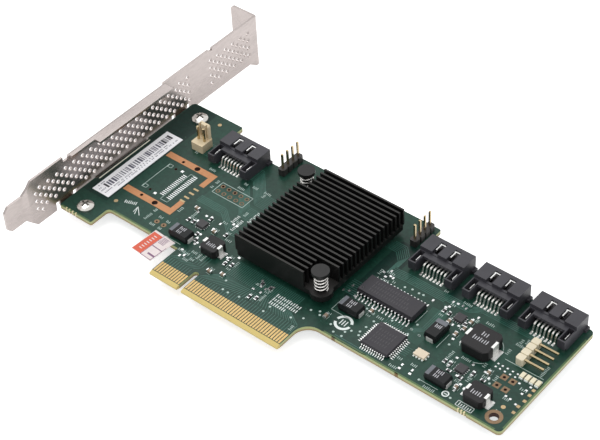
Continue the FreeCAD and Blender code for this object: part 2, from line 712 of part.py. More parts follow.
base_high = size("base_high", 2.5, "height of a pin header's base")
pin_top = size("pin_top", 8.2, "top of the straight pins")
header_inset = size("header_inset", 1.5, "first header to the recess")
header_two_inset = size("header_two_inset", 2.7, "second header to its recess")
header_below = size("header_below", 9.5, "first pin to the board's upper edge")
base_cut = size("base_cut", 0.4, "chamfers of a header's base")
pin_half = pin_side / 2
base_half = header_pitch / 2
headers = (("led_header_1", recess_right + header_inset, board_top - header_below),
           ("led_header_2", long_recess - header_two_inset, board_top - header_below - 0.6))
for label, x, y in headers:
    base = new_body(label)
    pad_segment = pad(base, "XY_Plane", flat, base_high, [
        chamfered(x - base_half, x + base_half, y - base_half, y + base_half, base_cut)])
    repeat(base, pad_segment, "Y_Axis", header_pitch, 4)
    square = pocket(base, "XY_Plane", flat - 1, base_high + 1, [
        rectangle(x - pin_half, x + pin_half, y - pin_half, y + pin_half)])
    repeat(base, square, "Y_Axis", header_pitch, 4)
    pins = []
    for index in range(4):
        pin_y = y + index * header_pitch
        pins.append(block(x - pin_half, x + pin_half, pin_y - pin_half, pin_y + pin_half,
                          -board_thick - pin_tail, pin_top))
        drilled.append(Round(x, pin_y, pin_hole))
    group(label + "_pins", pins)

# ---------------------------------------------------------------- right-angle header

side_inset = size("side_inset", 11.5, "right-angle header to the far edge")
side_start = size("side_start", 38.05, "its first pin")
side_level = size("side_level", 1.95, "height of its pins")
side_reach = size("side_reach", 6.45, "its pins past the base")
side_wall = size("side_wall", 0.35, "its base over the pins")
side_left = board_right - side_inset
side_right = side_left + header_pitch
leg_x = side_left + base_half
side_groove = size("side_groove", 0.3, "width and depth of the grooves across its base")
side_top = side_level + pin_half + side_wall
side_base = new_body("side_header")
side_segment = pad(side_base, "XY_Plane", flat, side_top, [
    chamfered(side_left, side_right, side_start - base_half, side_start + base_half, base_cut)])
repeat(side_base, side_segment, "Y_Axis", header_pitch, 4)
side_channel = pocket(side_base, "XZ_Plane", side_start - pin_half, side_start + pin_half, [[
    (leg_x - pin_half, flat - 1), (leg_x + pin_half, flat - 1), (leg_x + pin_half, side_level - pin_half),
    (side_right + 1, side_level - pin_half), (side_right + 1, side_level + pin_half),
    (leg_x - pin_half, side_level + pin_half)]])
repeat(side_base, side_channel, "Y_Axis", header_pitch, 4)
side_cut = pocket(side_base, "XY_Plane", side_top - side_groove, side_top + 1, [
    rectangle(side_left - 1, side_right + 1, side_start + base_half - side_groove / 2,
              side_start + base_half + side_groove / 2)])
repeat(side_base, side_cut, "Y_Axis", header_pitch, 3)
side_pins = new_body("side_header_pins")
side_pin = pad(side_pins, "XZ_Plane", side_start - pin_half, side_start + pin_half, [[
    (leg_x - pin_half, -board_thick - pin_tail), (leg_x + pin_half, -board_thick - pin_tail),
    (leg_x + pin_half, side_level - pin_half), (side_right + side_reach, side_level - pin_half),
    (side_right + side_reach, side_level + pin_half),
    Round(leg_x - pin_half, side_level + pin_half, pin_half)]])
repeat(side_pins, side_pin, "Y_Axis", header_pitch, 4)
for index in range(4):
    drilled.append(Round(leg_x, side_start + index * header_pitch, pin_hole))

# ---------------------------------------------------------------- two-pin locking header

lock_left = size("lock_left", -40.8, "locking header, near side")
lock_low = size("lock_low", 50.7, "locking header, lower side")
lock_width = size("lock_width", 4.9, "locking header width")
lock_depth = size("lock_depth", 5.2, "locking header base depth")
lock_base = size("lock_base", 3.1, "height of its base")
lock_high = size("lock_high", 8.8, "height of its wall")
lock_wall = size("lock_wall", 1.3, "thickness of its wall")
lock_right = lock_left + lock_width
lock_back = lock_low + lock_depth
lock = new_body("lock_header")
pad(lock, "XY_Plane", flat, lock_base, [chamfered(lock_left, lock_right, lock_low, lock_back, base_cut / 2)])
pad(lock, "XZ_Plane", lock_back - lock_wall, lock_back, [chamfered(
    lock_left + base_cut, lock_right - base_cut, lock_base - base_cut, lock_high, base_cut)])
lock_pins = []
lock_y = lock_low + lock_depth / 2
for side in (-1, 1):
    pin_x = (lock_left + lock_right) / 2 + side * base_half
    pocket(lock, "XY_Plane", flat - 1, lock_base + 1, [
        rectangle(pin_x - pin_half, pin_x + pin_half, lock_y - pin_half, lock_y + pin_half)])
    pocket(lock, "XY_Plane", lock_base + base_cut, lock_high + 1, [
        rectangle(pin_x - pin_half, pin_x + pin_half, lock_back - lock_wall - 1, lock_back - lock_wall / 2)])
    lock_pins.append(block(pin_x - pin_half, pin_x + pin_half, lock_y - pin_half, lock_y + pin_half,
                           -board_thick - pin_tail, lock_high - base_cut))
    drilled.append(Round(pin_x, lock_y, pin_hole))
group("lock_header_pins", lock_pins)

# ---------------------------------------------------------------- leaded packages

draft = size("draft", 0.25, "draft of moulded packages at top and bottom")
standoff = size("standoff", 0.12, "gap under a leaded package")


def moulded(x, y, length, width, middle, high):
    """A moulded package: widest at its parting line, drafted above and below."""
    return fuse([
        frustum(x, y, as_size(middle), as_size(high), length, width, draft),
        frustum(x, y, as_size(middle), standoff, length, width, draft)])


def gull_wing(centre, side, body_half, toe_half, foot, middle, thick):
    """A lead from the package's parting line down to the board and out to its toe."""
    def out(distance):
        return centre + side * distance
    knee = toe_half - foot
    return [
        (out(body_half), middle + thick / 2), Round(out(knee), middle + thick / 2, thick),
        Round(out(knee), flat + thick, thick / 2), (out(toe_half), flat + thick), (out(toe_half), flat),
        Round(out(knee - thick), flat, thick), Round(out(knee - thick), middle - thick / 2, thick / 2),
        (out(body_half), middle - thick / 2)]


memory_x = size("memory_x", 54.5, "memory chip centre along the board")
memory_y = size("memory_y", 35.0, "memory chip centre across the board")
memory_length = size("memory_length", 20.6, "memory chip length")
memory_width = size("memory_width", 7.5, "memory chip width")
memory_high = size("memory_high", 2.45, "memory chip height")
memory_toe = size("memory_toe", 5.15, "memory chip toes to its centre line")
memory_lead = size("memory_lead", 0.42, "memory chip lead width")
lead_thick = size("lead_thick", 0.2, "lead thickness")
finish("memory_chip", cut(
    moulded(memory_x, memory_y, memory_length, memory_width, memory_high / 2, memory_high),
    cylinder(memory_x - memory_length / 2 + 1.4, memory_y - memory_width / 2 + 1.4,
             memory_high - foil * 2, memory_high + 1, memory_lead)))
memory_leads = new_body("memory_chip_leads")
memory_first = memory_x - 7.5 * sata_pitch
memory_row = pad(memory_leads, "YZ_Plane", memory_first - memory_lead / 2, memory_first + memory_lead / 2, [
    gull_wing(memory_y, side, memory_width / 2, memory_toe, 0.8, memory_high / 2, lead_thick)
    for side in (-1, 1)])
repeat(memory_leads, memory_row, "X_Axis", sata_pitch, 16)

logic_x = size("logic_x", 62.6, "logic chip centre along the board")
logic_y = size("logic_y", 20.7, "logic chip centre across the board")
logic_side = size("logic_side", 10.0, "logic chip body side")
logic_high = size("logic_high", 1.5, "logic chip height")
logic_toe = size("logic_toe", 6.0, "logic chip toes to its centre")
logic_pitch = size("logic_pitch", 0.8, "logic chip lead pitch")
logic_lead = size("logic_lead", 0.34, "logic chip lead width")
logic_foil = size("logic_foil", 0.14, "logic chip lead thickness")
finish("logic_chip", cut(
    moulded(logic_x, logic_y, logic_side, logic_side, logic_high / 2, logic_high),
    cylinder(logic_x - logic_side / 2 + 1.3, logic_y - logic_side / 2 + 1.3,
             logic_high - foil * 2, logic_high + 1, logic_lead)))
logic_leads = new_body("logic_chip_leads")
for role, along, across, axis_role in (("YZ_Plane", logic_x, logic_y, "X_Axis"),
                                       ("XZ_Plane", logic_y, logic_x, "Y_Axis")):
    first = along - 5 * logic_pitch
    side_row = pad(logic_leads, role, first - logic_lead / 2, first + logic_lead / 2, [
        gull_wing(across, side, logic_side / 2, logic_toe, 0.5, logic_high / 2, logic_foil)
        for side in (-1, 1)])
    repeat(logic_leads, side_row, axis_role, logic_pitch, 11)

# ---------------------------------------------------------------- heatsink and controller

sink_left = size("sink_left", 5.5, "heatsink, near side")
sink_length = size("sink_length", 34.25, "heatsink length along its fins")
sink_low = size("sink_low", 20.55, "heatsink, lower side")
fin_pitch = size("fin_pitch", 1.97, "fin pitch")
fin_thick = size("fin_thick", 0.65, "fin thickness")
fin_count = size("fin_count", 21, "number of fins")
sink_under = size("sink_under", 2.2, "underside of the heatsink")
sink_floor = size("sink_floor", 4.2, "top of its base plate")
sink_high = size("sink_high", 10.4, "top of its fins")
sink_ear = size("sink_ear", 3.6, "radius of its ears")
pin_one_x = size("pin_one_x", 37.2, "first push pin along the board")
pin_one_y = size("pin_one_y", 23.2, "first push pin across the board")
pin_two_x = size("pin_two_x", 5.4, "second push pin along the board")
pin_two_y = size("pin_two_y", 55.1, "second push pin across the board")
push_shank = size("push_shank", 1.35, "push pin shank radius")
push_head = size("push_head", 2.8, "push pin head radius")
push_top = size("push_top", 12.0, "top of the push pins")
push_rise = size("push_rise", 1.2, "push pin head height")
push_barb = size("push_barb", 1.9, "push pin barb radius")
push_end = size("push_end", 2.6, "length of the barbs below the board")
spring_radius = size("spring_radius", 1.95, "mean radius of the springs")
spring_wire = size("spring_wire", 0.25, "radius of the spring wire")
spring_pitch = size("spring_pitch", 1.3, "pitch of the springs")

sink_right = sink_left + sink_length
sink_top_edge = sink_low + (fin_count - 1) * fin_pitch + fin_thick
push_hole = push_shank + play
cut_one = (pin_one_x - 4.6, pin_one_y + 4.5)
cut_two = (pin_two_x + 3.1, pin_two_y - 4.3)
push_pins = ((pin_one_x, pin_one_y), (pin_two_x, pin_two_y))
sink = new_body("heatsink")
pad(sink, "XY_Plane", sink_under, sink_floor, [rounded(sink_left, sink_right, sink_low, sink_top_edge, bend * 2)])
for x, y in push_pins:
    pad(sink, "XY_Plane", sink_under, sink_floor, [Round(x, y, sink_ear)])
fin = pad(sink, "XY_Plane", sink_floor, sink_high, [
    rectangle(sink_left, sink_right, sink_low, sink_low + fin_thick)])
repeat(sink, fin, "Y_Axis", fin_pitch, fin_count)
pocket(sink, "XY_Plane", sink_floor, sink_high + 1, [
    rectangle(cut_one[0], sink_right + 1, sink_low - 1, cut_one[1]),
    rectangle(sink_left - 1, cut_two[0], cut_two[1], sink_top_edge + 1)])
pocket(sink, "XY_Plane", sink_under - 1, sink_floor + 1, [Round(x, y, push_hole) for x, y in push_pins])

chip_side = size("chip_side", 27.0, "controller package side")
chip_high = size("chip_high", 2.0, "controller package height")
lid_side = size("lid_side", 21.0, "side of the lid on the package")
chip_x = (sink_left + sink_right) / 2
chip_y = (sink_low + sink_top_edge) / 2


def slab(x, y, side, z_low, z_high):
    return block(x - side / 2, x + side / 2, y - side / 2, y + side / 2, z_low, z_high)


finish("controller_chip", fuse([
    slab(chip_x, chip_y, chip_side, flat, chip_high * 0.6), slab(chip_x, chip_y, lid_side, flat, chip_high)]))
finish("thermal_pad", slab(chip_x, chip_y, lid_side, chip_high, sink_under))

pins = []
springs = []
for x, y in push_pins:
    barb = doc.addObject("Part::Cone", "Barb")
    bind(barb, "Radius1", push_barb / 2)
    bind(barb, "Radius2", push_barb)
    bind(barb, "Height", push_end)
    place(barb, x, y, -board_thick - push_end)
    solid = fuse([
        cylinder(x, y, push_top - push_rise, push_top, push_head),
        cylinder(x, y, -board_thick - push_end / 2, push_top - push_rise / 2, push_shank), barb])
    slit = block(x - play * 2, x + play * 2, y - push_head, y + push_head,
                 -board_thick - push_end * 2, sink_under - push_shank)
    pins.append(cut(solid, slit))
    drilled.append(Round(x, y, push_shank + play * 2))

    spring = body_in_work("Spring")
    section = sketch_on(spring, "XZ_Plane", flat, flat, [Round(spring_radius, flat, spring_wire)])
    coil = spring.newObject("PartDesign::AdditiveHelix", "Coil")
    coil.Profile = section
    coil.ReferenceAxis = (origin_feature(spring, "Z_Axis"), [""])
    coil.Mode = "pitch-height-angle"
    bind(coil, "Pitch", spring_pitch)
    bind(coil, "Height", push_top - push_rise - sink_floor - 2 * spring_wire)
    spring.Tip = coil
    place(spring, x, y, sink_floor + spring_wire)
    springs.append(spring)
group("push_pins", pins)
group("push_pin_springs", springs)

# ---------------------------------------------------------------- inductors

choke_floor = size("choke_floor", 0.25, "thickness of the inductors' metal feet")
choke_metal = size("choke_metal", 0.15, "thickness of the inductors' metal straps")
choke_lip = size("choke_lip", 0.7, "reach of the straps over the top")
choke_toe = size("choke_toe", 1.2, "reach of the feet past the core")


def spot(name, x, y, meaning):
    """Names the place of one part on the board."""
    return size(name + "_x", x, meaning + " along the board"), size(name + "_y", y, meaning + " across the board")


def sided(centre, side, near, far, y_low, y_high, z_low, z_high):
    """A block from near to far of a centre, on the side that the sign gives."""
    if side > 0:
        return block(centre + near, centre + far, y_low, y_high, z_low, z_high)
    return block(centre - far, centre - near, y_low, y_high, z_low, z_high)


def choke(x, y, side, high):
    """An eight-sided inductor core, held by a metal strap at each end."""
    half = side / 2
    corner_side = side * 0.45
    core = fuse([
        block(x - half, x + half, y - half, y + half, choke_floor, high * 0.92),
        frustum(x, y, high * 0.92, high, side, side, high * 0.08)])
    corners = []
    for side_x in (-1, 1):
        for side_y in (-1, 1):
            corner = doc.addObject("Part::Box", "Corner")
            bind(corner, "Length", corner_side)
            bind(corner, "Width", corner_side)
            bind(corner, "Height", high)
            corner.Placement.Rotation = FreeCAD.Rotation(V(0, 0, 1), 45)
            place(corner, x + side_x * (half + side * 0.09), y + side_y * (half + side * 0.09) - side * 0.318,
                  flat)
            corners.append(corner)
    straps = []
    for way in (-1, 1):
        outer = half + choke_metal
        strap = half * 0.29
        foot = half * 0.44
        straps.append(fuse([
            sided(x, way, half - choke_lip, outer, y - strap, y + strap, high, high + choke_metal),
            sided(x, way, half, outer, y - strap, y + strap, choke_floor / 2, high + choke_metal / 2),
            sided(x, way, half - choke_lip, half + choke_toe, y - foot, y + foot, flat, choke_floor)]))
    return cut(core, compound(corners)), straps


chokes = (
    (*spot("choke_big", 86.35, 36.15, "large inductor"), size("choke_big_side", 9.7, "large inductor side"),
     size("choke_big_high", 3.8, "large inductor height")),
    (*spot("choke_mid", 96.8, 19.5, "second inductor"), size("choke_mid_side", 6.9, "second inductor side"),
     size("choke_mid_high", 3.0, "second inductor height")),
    (*spot("choke_near", -2.6, 18.9, "third inductor"), size("choke_near_side", 6.4, "third inductor side"),
     size("choke_near_high", 3.0, "third inductor height")),
)
cores = []
core_terminals = []
for x, y, side, high in chokes:
    core, straps = choke(x, y, side, high)
    cores.append(core)
    core_terminals += straps
group("inductor_cores", cores)
group("inductor_terminals", core_terminals)

# ---------------------------------------------------------------- tantalum capacitors

tantalum_length = size("tantalum_length", 7.3, "tantalum capacitor length")
tantalum_width = size("tantalum_width", 4.3, "tantalum capacitor width")
tantalum_high = size("tantalum_high", 2.9, "tantalum capacitor height")
tantalum_strip = size("tantalum_strip", 2.4, "width of its terminals")
tantalums = (
    (*spot("tantalum_1", -14.6, 17.5, "first tantalum capacitor"), False),
    (*spot("tantalum_2", 47.4, 24.7, "second tantalum capacitor"), False),
    (*spot("tantalum_3", 73.1, 32.4, "third tantalum capacitor"), True),
    (*spot("tantalum_4", 84.1, 18.1, "fourth tantalum capacitor"), False),
)
bodies = []
strips = []
for x, y, turned in tantalums:
    along, wide = (tantalum_width, tantalum_length) if turned else (tantalum_length, tantalum_width)
    bodies.append(moulded(x, y, along, wide, tantalum_high / 2, tantalum_high))
    for side in (-1, 1):
        inner = tantalum_length / 2
        foot = (inner - 1.3, inner + lead_thick)
        wall = (inner, inner + lead_thick)
        strip = []
        for reach, z_high in ((foot, standoff), (wall, tantalum_high / 2)):
            start, end = (reach[0] * side, reach[1] * side) if side > 0 else (reach[1] * side, reach[0] * side)
            if turned:
                strip.append(block(x - tantalum_strip / 2, x + tantalum_strip / 2, y + start, y + end, flat, z_high))
            else:
                strip.append(block(x + start, x + end, y - tantalum_strip / 2, y + tantalum_strip / 2, flat, z_high))
        strips.append(fuse(strip))
group("tantalum_capacitors", bodies)
group("tantalum_terminals", strips)

# ---------------------------------------------------------------- small packages

small_high = size("small_high", 0.9, "height of the small packages")
regulator_side = size("regulator_side", 3.0, "side of the regulator chips")
regulators = (
    spot("regulator_1", 86.9, 25.5, "first regulator chip"),
    spot("regulator_2", 74.9, 41.5, "second regulator chip"),
    spot("regulator_3", -13.0, 25.3, "third regulator chip"),
)
group("regulator_chips", [slab(x, y, regulator_side, flat, small_high) for x, y in regulators])
oscillator_x, oscillator_y = spot("oscillator", 74.4, 23.0, "cream part with terminals round its edge")
oscillator_length = size("oscillator_length", 3.8, "its length")
oscillator_width = size("oscillator_width", 2.8, "its width")
finish("resistor_network", block(
    oscillator_x - oscillator_length / 2, oscillator_x + oscillator_length / 2,
    oscillator_y - oscillator_width / 2, oscillator_y + oscillator_width / 2, flat, small_high))
lamp_pitch = size("lamp_pitch", 1.75, "pitch of the status lamps")
lamp_from_right = size("lamp_from_right", 6.8, "first status lamp to the far edge")
lamp_y = size("lamp_y", 34.0, "row of status lamps")
lamp_wide = size("lamp_wide", 1.24, "status lamp width")
lamp_long = size("lamp_long", 2.0, "status lamp length")
lamps = []
for index in range(4):
    x = board_right - lamp_from_right + index * lamp_pitch
    lamps.append(block(x - lamp_wide / 2, x + lamp_wide / 2, lamp_y - lamp_long / 2, lamp_y + lamp_long / 2,
                       flat, small_high))
group("status_lamps", lamps)

# ---------------------------------------------------------------- chip resistors and capacitors

chip_cap = size("chip_cap", 0.3, "length of a chip part's metal ends")
CHIP_KINDS = {
    "resistor": (size("resistor_long", 1.6, "resistor length"), size("resistor_wide", 0.8, "resistor width"),
                 size("resistor_high", 0.5, "resistor height")),
    "capacitor": (size("capacitor_long", 1.7, "capacitor length"), size("capacitor_wide", 0.9, "capacitor width"),
                  size("capacitor_high", 0.85, "capacitor height")),
}


def chip_part(x, y, turned, length, width, high):
    """A two-ended chip part: its body and its two metal ends."""
    across = width / 2
    half = length / 2
    solids = []
    for start, stop, proud in ((chip_cap - half, half - chip_cap, flat), (-half, chip_cap - half, foil),
                               (half - chip_cap, half, foil)):
        if turned:
            solids.append(block(x - across - proud, x + across + proud, y + start, y + stop, flat, high + proud))
        else:
            solids.append(block(x + start, x + stop, y - across - proud, y + across + proud, flat, high + proud))
    return solids


# Each part's kind, its place from the package beside it, and whether it runs across the board.
chip_rows = (
    (tantalums[2], "resistor", True, ((-3.8, 8.75), (-1.9, 8.7), (4.3, 7.75))),
    (tantalums[2], "capacitor", True, ((5.35, 9.6), (4.5, 3.0), (-0.1, 6.0), (5.3, 6.2))),
    (regulators[0], "resistor", True, ((-5.55, -0.4), (-3.75, -0.35), (3.7, 0.5))),
    (regulators[0], "resistor", False, ((-2.5, -2.65), (1.5, -2.75), (7.4, 0.2))),
    (regulators[0], "capacitor", True, ((2.85, -6.6), (7.0, 3.4))),
    (tantalums[0], "resistor", True, ((-1.6, 7.05), (-3.5, 6.95), (2.15, 11.25), (3.1, 3.6), (4.6, 1.4))),
    (tantalums[0], "capacitor", False, ((6.9, 7.55), (-4.6, 12.4))),
    (chokes[2], "resistor", True, ((-1.3, 7.2), (6.7, -0.2), (6.9, -2.4), (9.0, -1.6))),
    (chokes[2], "capacitor", False, ((5.3, -7.7), (9.6, -6.4))),
    (tantalums[1], "resistor", True, ((-28.3, -7.8), (-25.1, -7.9), (-27.9, -14.3), (-25.8, -13.6))),
    (tantalums[1], "capacitor", True, ((5.0, 3.2), (-4.6, -6.5))),
)
chip_bodies = {"resistor": [], "capacitor": []}
chip_ends = []
for anchor, kind, turned, steps in chip_rows:
    for step_x, step_y in steps:
        body_block, *ends = chip_part(anchor[0] + step_x, anchor[1] + step_y, turned, *CHIP_KINDS[kind])
        chip_bodies[kind].append(body_block)
        chip_ends += ends
group("chip_resistors", chip_bodies["resistor"])
group("chip_capacitors", chip_bodies["capacitor"])
group("chip_end_caps", chip_ends)

# ---------------------------------------------------------------- bare copper and empty footprints

copper_wide = size("copper_wide", 2.5, "width of the bare copper strips")
copper_left = size("copper_left", -45.25, "bare copper strips, near end")
copper_right = size("copper_right", -24.5, "bare copper strips, far end")
copper_leg = size("copper_leg", 2.0, "width of their legs")
copper_upper = size("copper_upper", 42.9, "upper strip, lower edge")
copper_lower = size("copper_lower", 25.1, "lower strip, upper edge")
copper_reach = size("copper_reach", 4.4, "length of their legs")
peg_hole = size("peg_hole", 1.0, "radius of the larger holes in the strips")
clip_hole = size("clip_hole", 0.55, "radius of the smaller holes in the strips")
strip_holes = []
for y, large_step in ((copper_upper + copper_wide / 2, 0.2), (copper_lower - copper_wide / 2, -0.2)):
    strip_holes += [Round(copper_left + 7.0, y - large_step, clip_hole), Round(copper_left + 13.0, y, peg_hole)]
strips = fuse([
    block(copper_left, copper_right, copper_upper, copper_upper + copper_wide, flat, foil),
    block(copper_right - copper_leg, copper_right, copper_upper - copper_reach, copper_upper, flat, foil),
    block(copper_left, copper_right, copper_lower - copper_wide, copper_lower, flat, foil),
    block(copper_right - copper_leg, copper_right, copper_lower, copper_lower + copper_reach, flat, foil)])
punches = [cylinder(hole.x, hole.y, -foil, foil * 2, hole.radius) for hole in strip_holes]
finish("bare_copper", cut(strips, compound(punches)))
drilled += strip_holes

via_hole = size("via_hole", 0.35, "radius of the test holes")
footprint_x, footprint_y = spot("footprint", -19.85, 40.3, "first hole of the empty header footprint")
pin_holes = [Round(footprint_x + column * header_pitch, footprint_y + row * header_pitch, pin_hole)
             for row in range(2) for column in range(5)]
socket_x, socket_y = spot("socket", -37.9, 27.7, "first peg hole of the empty connector footprint")
socket_holes = [Round(socket_x, socket_y, pin_hole), Round(socket_x, socket_y + 12.2, pin_hole)]
jumper_x, jumper_y = spot("jumper", 98.2, 26.9, "first hole of the empty jumper footprint")
jumper_step = size("jumper_step", 2.9, "jumper footprint along the board")
jumper_rise = size("jumper_rise", 3.7, "jumper footprint across the board")
jumper_holes = [Round(jumper_x + column * jumper_step, jumper_y + row * jumper_rise, pin_hole)
                for row in range(2) for column in range(2)]
test_x, test_y = spot("test", -25.7, 17.9, "first test hole")
test_holes = [Round(test_x + index * jumper_step, test_y, via_hole) for index in range(2)]
drilled += pin_holes + socket_holes + jumper_holes + test_holes

annular = size("annular", 0.55, "width of the rings round plated holes")
rings = []
for hole in pin_holes:
    rings.append((cylinder(hole.x, hole.y, flat, foil, hole.radius + annular / 2), hole))
for hole in test_holes:
    rings.append((cylinder(hole.x, hole.y, flat, foil, hole.radius + annular), hole))
for hole in jumper_holes:
    rings.append((slab(hole.x, hole.y, (hole.radius + annular) * 2, flat, foil), hole))
mounting = drilled[0]
rings.append((cylinder(mounting.x, mounting.y, flat, foil, mounting.radius + annular * 2), mounting))
group("plated_pads", [cut(land, cylinder(hole.x, hole.y, -foil, foil * 2, hole.radius)) for land, hole in rings])

# ---------------------------------------------------------------- labels

label_thick = size("label_thick", 0.1, "label thickness")
label_x, label_y = spot("label", -53.2, 16.65, "corner of the paper label")
label_wide = size("label_wide", 7.2, "label width")
label_long = size("label_long", 35.5, "label length")
finish("barcode_label", block(label_x, label_x + label_wide, label_y, label_y + label_long, flat, label_thick))
sticker_x, sticker_y = spot("sticker", -23.9, 4.2, "corner of the sticker")
sticker_wide = size("sticker_wide", 8.8, "sticker width")
sticker_long = size("sticker_long", 10.6, "sticker length")
sticker = block(sticker_x, sticker_x + sticker_wide, sticker_y, sticker_y + sticker_long, flat, label_thick)
sticker.Placement.Rotation = FreeCAD.Rotation(V(0, 0, 1), -4)
finish("seal_sticker", sticker)

pocket(board, "XY_Plane", -board_thick - 1, flat + 1, drilled)

# ---------------------------------------------------------------- check and write

doc.recompute()
failed = [item.Name for item in doc.Objects if "Invalid" in item.State or "Error" in item.State]
failed += [piece.Label for piece in pieces if piece.Shape.isNull() or not piece.Shape.isValid()]
if failed:
    sys.exit("not built: " + ", ".join(failed))
os.makedirs("parts", exist_ok=True)
for piece in pieces:
    piece.Shape.exportStep(f"parts/{piece.Label}.step")
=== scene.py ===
"""Looks of the raid controller card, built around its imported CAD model.

Lengths in this file are millimetres in the row frame, turned into metres by MM: X runs along
the board away from the bracket, Y up from the connector tab, Z out of the component side, and
Z = 0 is the board's component-side surface.
"""
import math
import random

import bmesh
import bpy
from mathutils import Matrix, Vector


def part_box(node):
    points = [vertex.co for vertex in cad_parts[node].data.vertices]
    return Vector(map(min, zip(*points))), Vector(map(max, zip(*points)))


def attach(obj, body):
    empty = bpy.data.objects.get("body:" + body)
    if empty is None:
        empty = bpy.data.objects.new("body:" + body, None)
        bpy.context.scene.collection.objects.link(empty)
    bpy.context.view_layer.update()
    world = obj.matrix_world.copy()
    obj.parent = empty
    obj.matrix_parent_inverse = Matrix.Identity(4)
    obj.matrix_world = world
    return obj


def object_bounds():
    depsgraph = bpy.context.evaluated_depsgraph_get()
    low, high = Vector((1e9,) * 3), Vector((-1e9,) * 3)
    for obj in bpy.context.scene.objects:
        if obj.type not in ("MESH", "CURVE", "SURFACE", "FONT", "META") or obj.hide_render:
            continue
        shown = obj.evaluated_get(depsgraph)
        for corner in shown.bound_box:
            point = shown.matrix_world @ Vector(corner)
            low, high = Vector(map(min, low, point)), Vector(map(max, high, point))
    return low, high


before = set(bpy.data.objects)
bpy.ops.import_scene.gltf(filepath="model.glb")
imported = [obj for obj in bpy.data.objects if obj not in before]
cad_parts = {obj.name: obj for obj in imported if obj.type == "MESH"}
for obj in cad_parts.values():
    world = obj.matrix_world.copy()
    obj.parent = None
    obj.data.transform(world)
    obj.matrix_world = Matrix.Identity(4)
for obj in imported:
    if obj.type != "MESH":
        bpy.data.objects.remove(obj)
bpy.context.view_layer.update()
MM = 0.001
SUNK = 0.01          # how far a thin piece reaches into the surface that it lies on
INK = 0.02           # how far print stands above its surface
TRACE = 0.012        # how far a track under the solder mask stands up
LAND = 0.03          # how far a bare pad stands up

# The lower and upper level of thin pieces on the board.
PRINT = (-SUNK, INK)
BARE_PAD = (-SUNK, LAND)
TRACK = (-SUNK, TRACE)

# Places where a material changes its colour.
HOOD_REAR = 54.4     # past this Y, the drive receptacles' contacts lie in the dark of their hoods
MID_BOARD = -0.85    # below this Z, the board's cut edge is browner
BEVEL_TOP = 1.4      # below this Y, the connector tab is bevelled

random.seed(7)


# ------ materials

ONE_NOISE = (0.3, 0.7)       # where the values of one noise mostly lie
TWO_NOISES = (0.7, 1.3)      # the same for the sum of two
BROAD_SHARE = 0.06           # frequency of the broad noise, as a share of the fine one's
STANDING = 0.25              # a face stands up when its normal's Z, squared, is below this
FLAT = 0.98                  # and lies flat when it is above this
UPWARD = 0.7                 # a face looks up when its normal's Z is above this
UNEVEN = 0.06                # how far roughness strays from its mean
SMOOTHEST = 0.02
WHITE = (1.0, 1.0, 1.0, 1.0)
MIX_SHARE, MIX_FIRST, MIX_SECOND, MIX_RESULT = 0, 6, 7, 2    # a colour mix's inputs and output


def shade(colour, factor):
    """A colour made lighter or darker, with full alpha."""
    return (*[min(1.0, channel * factor) for channel in colour], 1.0)


def maths(tree, value, operation, other):
    """A value joined with a number or another value by a maths operation."""
    node = tree.nodes.new("ShaderNodeMath")
    node.operation = operation
    tree.links.new(value, node.inputs[0])
    if isinstance(other, bpy.types.NodeSocket):
        tree.links.new(other, node.inputs[1])
    else:
        node.inputs[1].default_value = other
    return node.outputs["Value"]


def ranged(tree, value, source=(0.0, 1.0), target=(0.0, 1.0)):
    """A value whose source range is moved to the target range."""
    node = tree.nodes.new("ShaderNodeMapRange")
    node.inputs["From Min"].default_value, node.inputs["From Max"].default_value = source
    node.inputs["To Min"].default_value, node.inputs["To Max"].default_value = target
    tree.links.new(value, node.inputs["Value"])
    return node.outputs["Result"]


def surface(name, colour, roughness, mottle, grain, bump, metallic=0.0, coat=0.0, specular=0.5,
            stretch=(1.0, 1.0, 1.0)):
    """A material whose colour, roughness and relief follow two noises of real size.

    mottle is how far the colour strays; grain and bump are the noise's size and depth (mm).
    """
    material = bpy.data.materials.new(name)
    material.use_nodes = True
    tree = material.node_tree
    shader = tree.nodes["Principled BSDF"]
    for key, value in (("Metallic", metallic), ("Coat Weight", coat), ("Specular IOR Level", specular)):
        shader.inputs[key].default_value = value
    place = tree.nodes.new("ShaderNodeTexCoord")
    scale = tree.nodes.new("ShaderNodeMapping")
    scale.inputs["Scale"].default_value = [axis / (grain * MM) for axis in stretch]
    tree.links.new(place.outputs["Object"], scale.inputs["Vector"])
    noises = []
    for frequency, detail in ((1.0, 3.0), (BROAD_SHARE, 2.0)):
        noise = tree.nodes.new("ShaderNodeTexNoise")
        noise.inputs["Scale"].default_value = frequency
        noise.inputs["Detail"].default_value = detail
        tree.links.new(scale.outputs["Vector"], noise.inputs["Vector"])
        noises.append(noise.outputs["Fac"])
    fine, broad = noises
    tint = tree.nodes.new("ShaderNodeMix")
    tint.data_type = "RGBA"
    tint.inputs[MIX_FIRST].default_value = shade(colour, 1 - mottle)
    tint.inputs[MIX_SECOND].default_value = shade(colour, 1 + mottle)
    tree.links.new(ranged(tree, maths(tree, fine, "ADD", broad), TWO_NOISES), tint.inputs[MIX_SHARE])
    tree.links.new(tint.outputs[MIX_RESULT], shader.inputs["Base Color"])
    limits = (max(SMOOTHEST, roughness - UNEVEN), min(1.0, roughness + UNEVEN))
    tree.links.new(ranged(tree, broad, ONE_NOISE, limits), shader.inputs["Roughness"])
    relief = tree.nodes.new("ShaderNodeBump")
    relief.inputs["Distance"].default_value = bump * MM
    relief.inputs["Strength"].default_value = 1.0
    tree.links.new(fine, relief.inputs["Height"])
    tree.links.new(relief.outputs["Normal"], shader.inputs["Normal"])
    return material


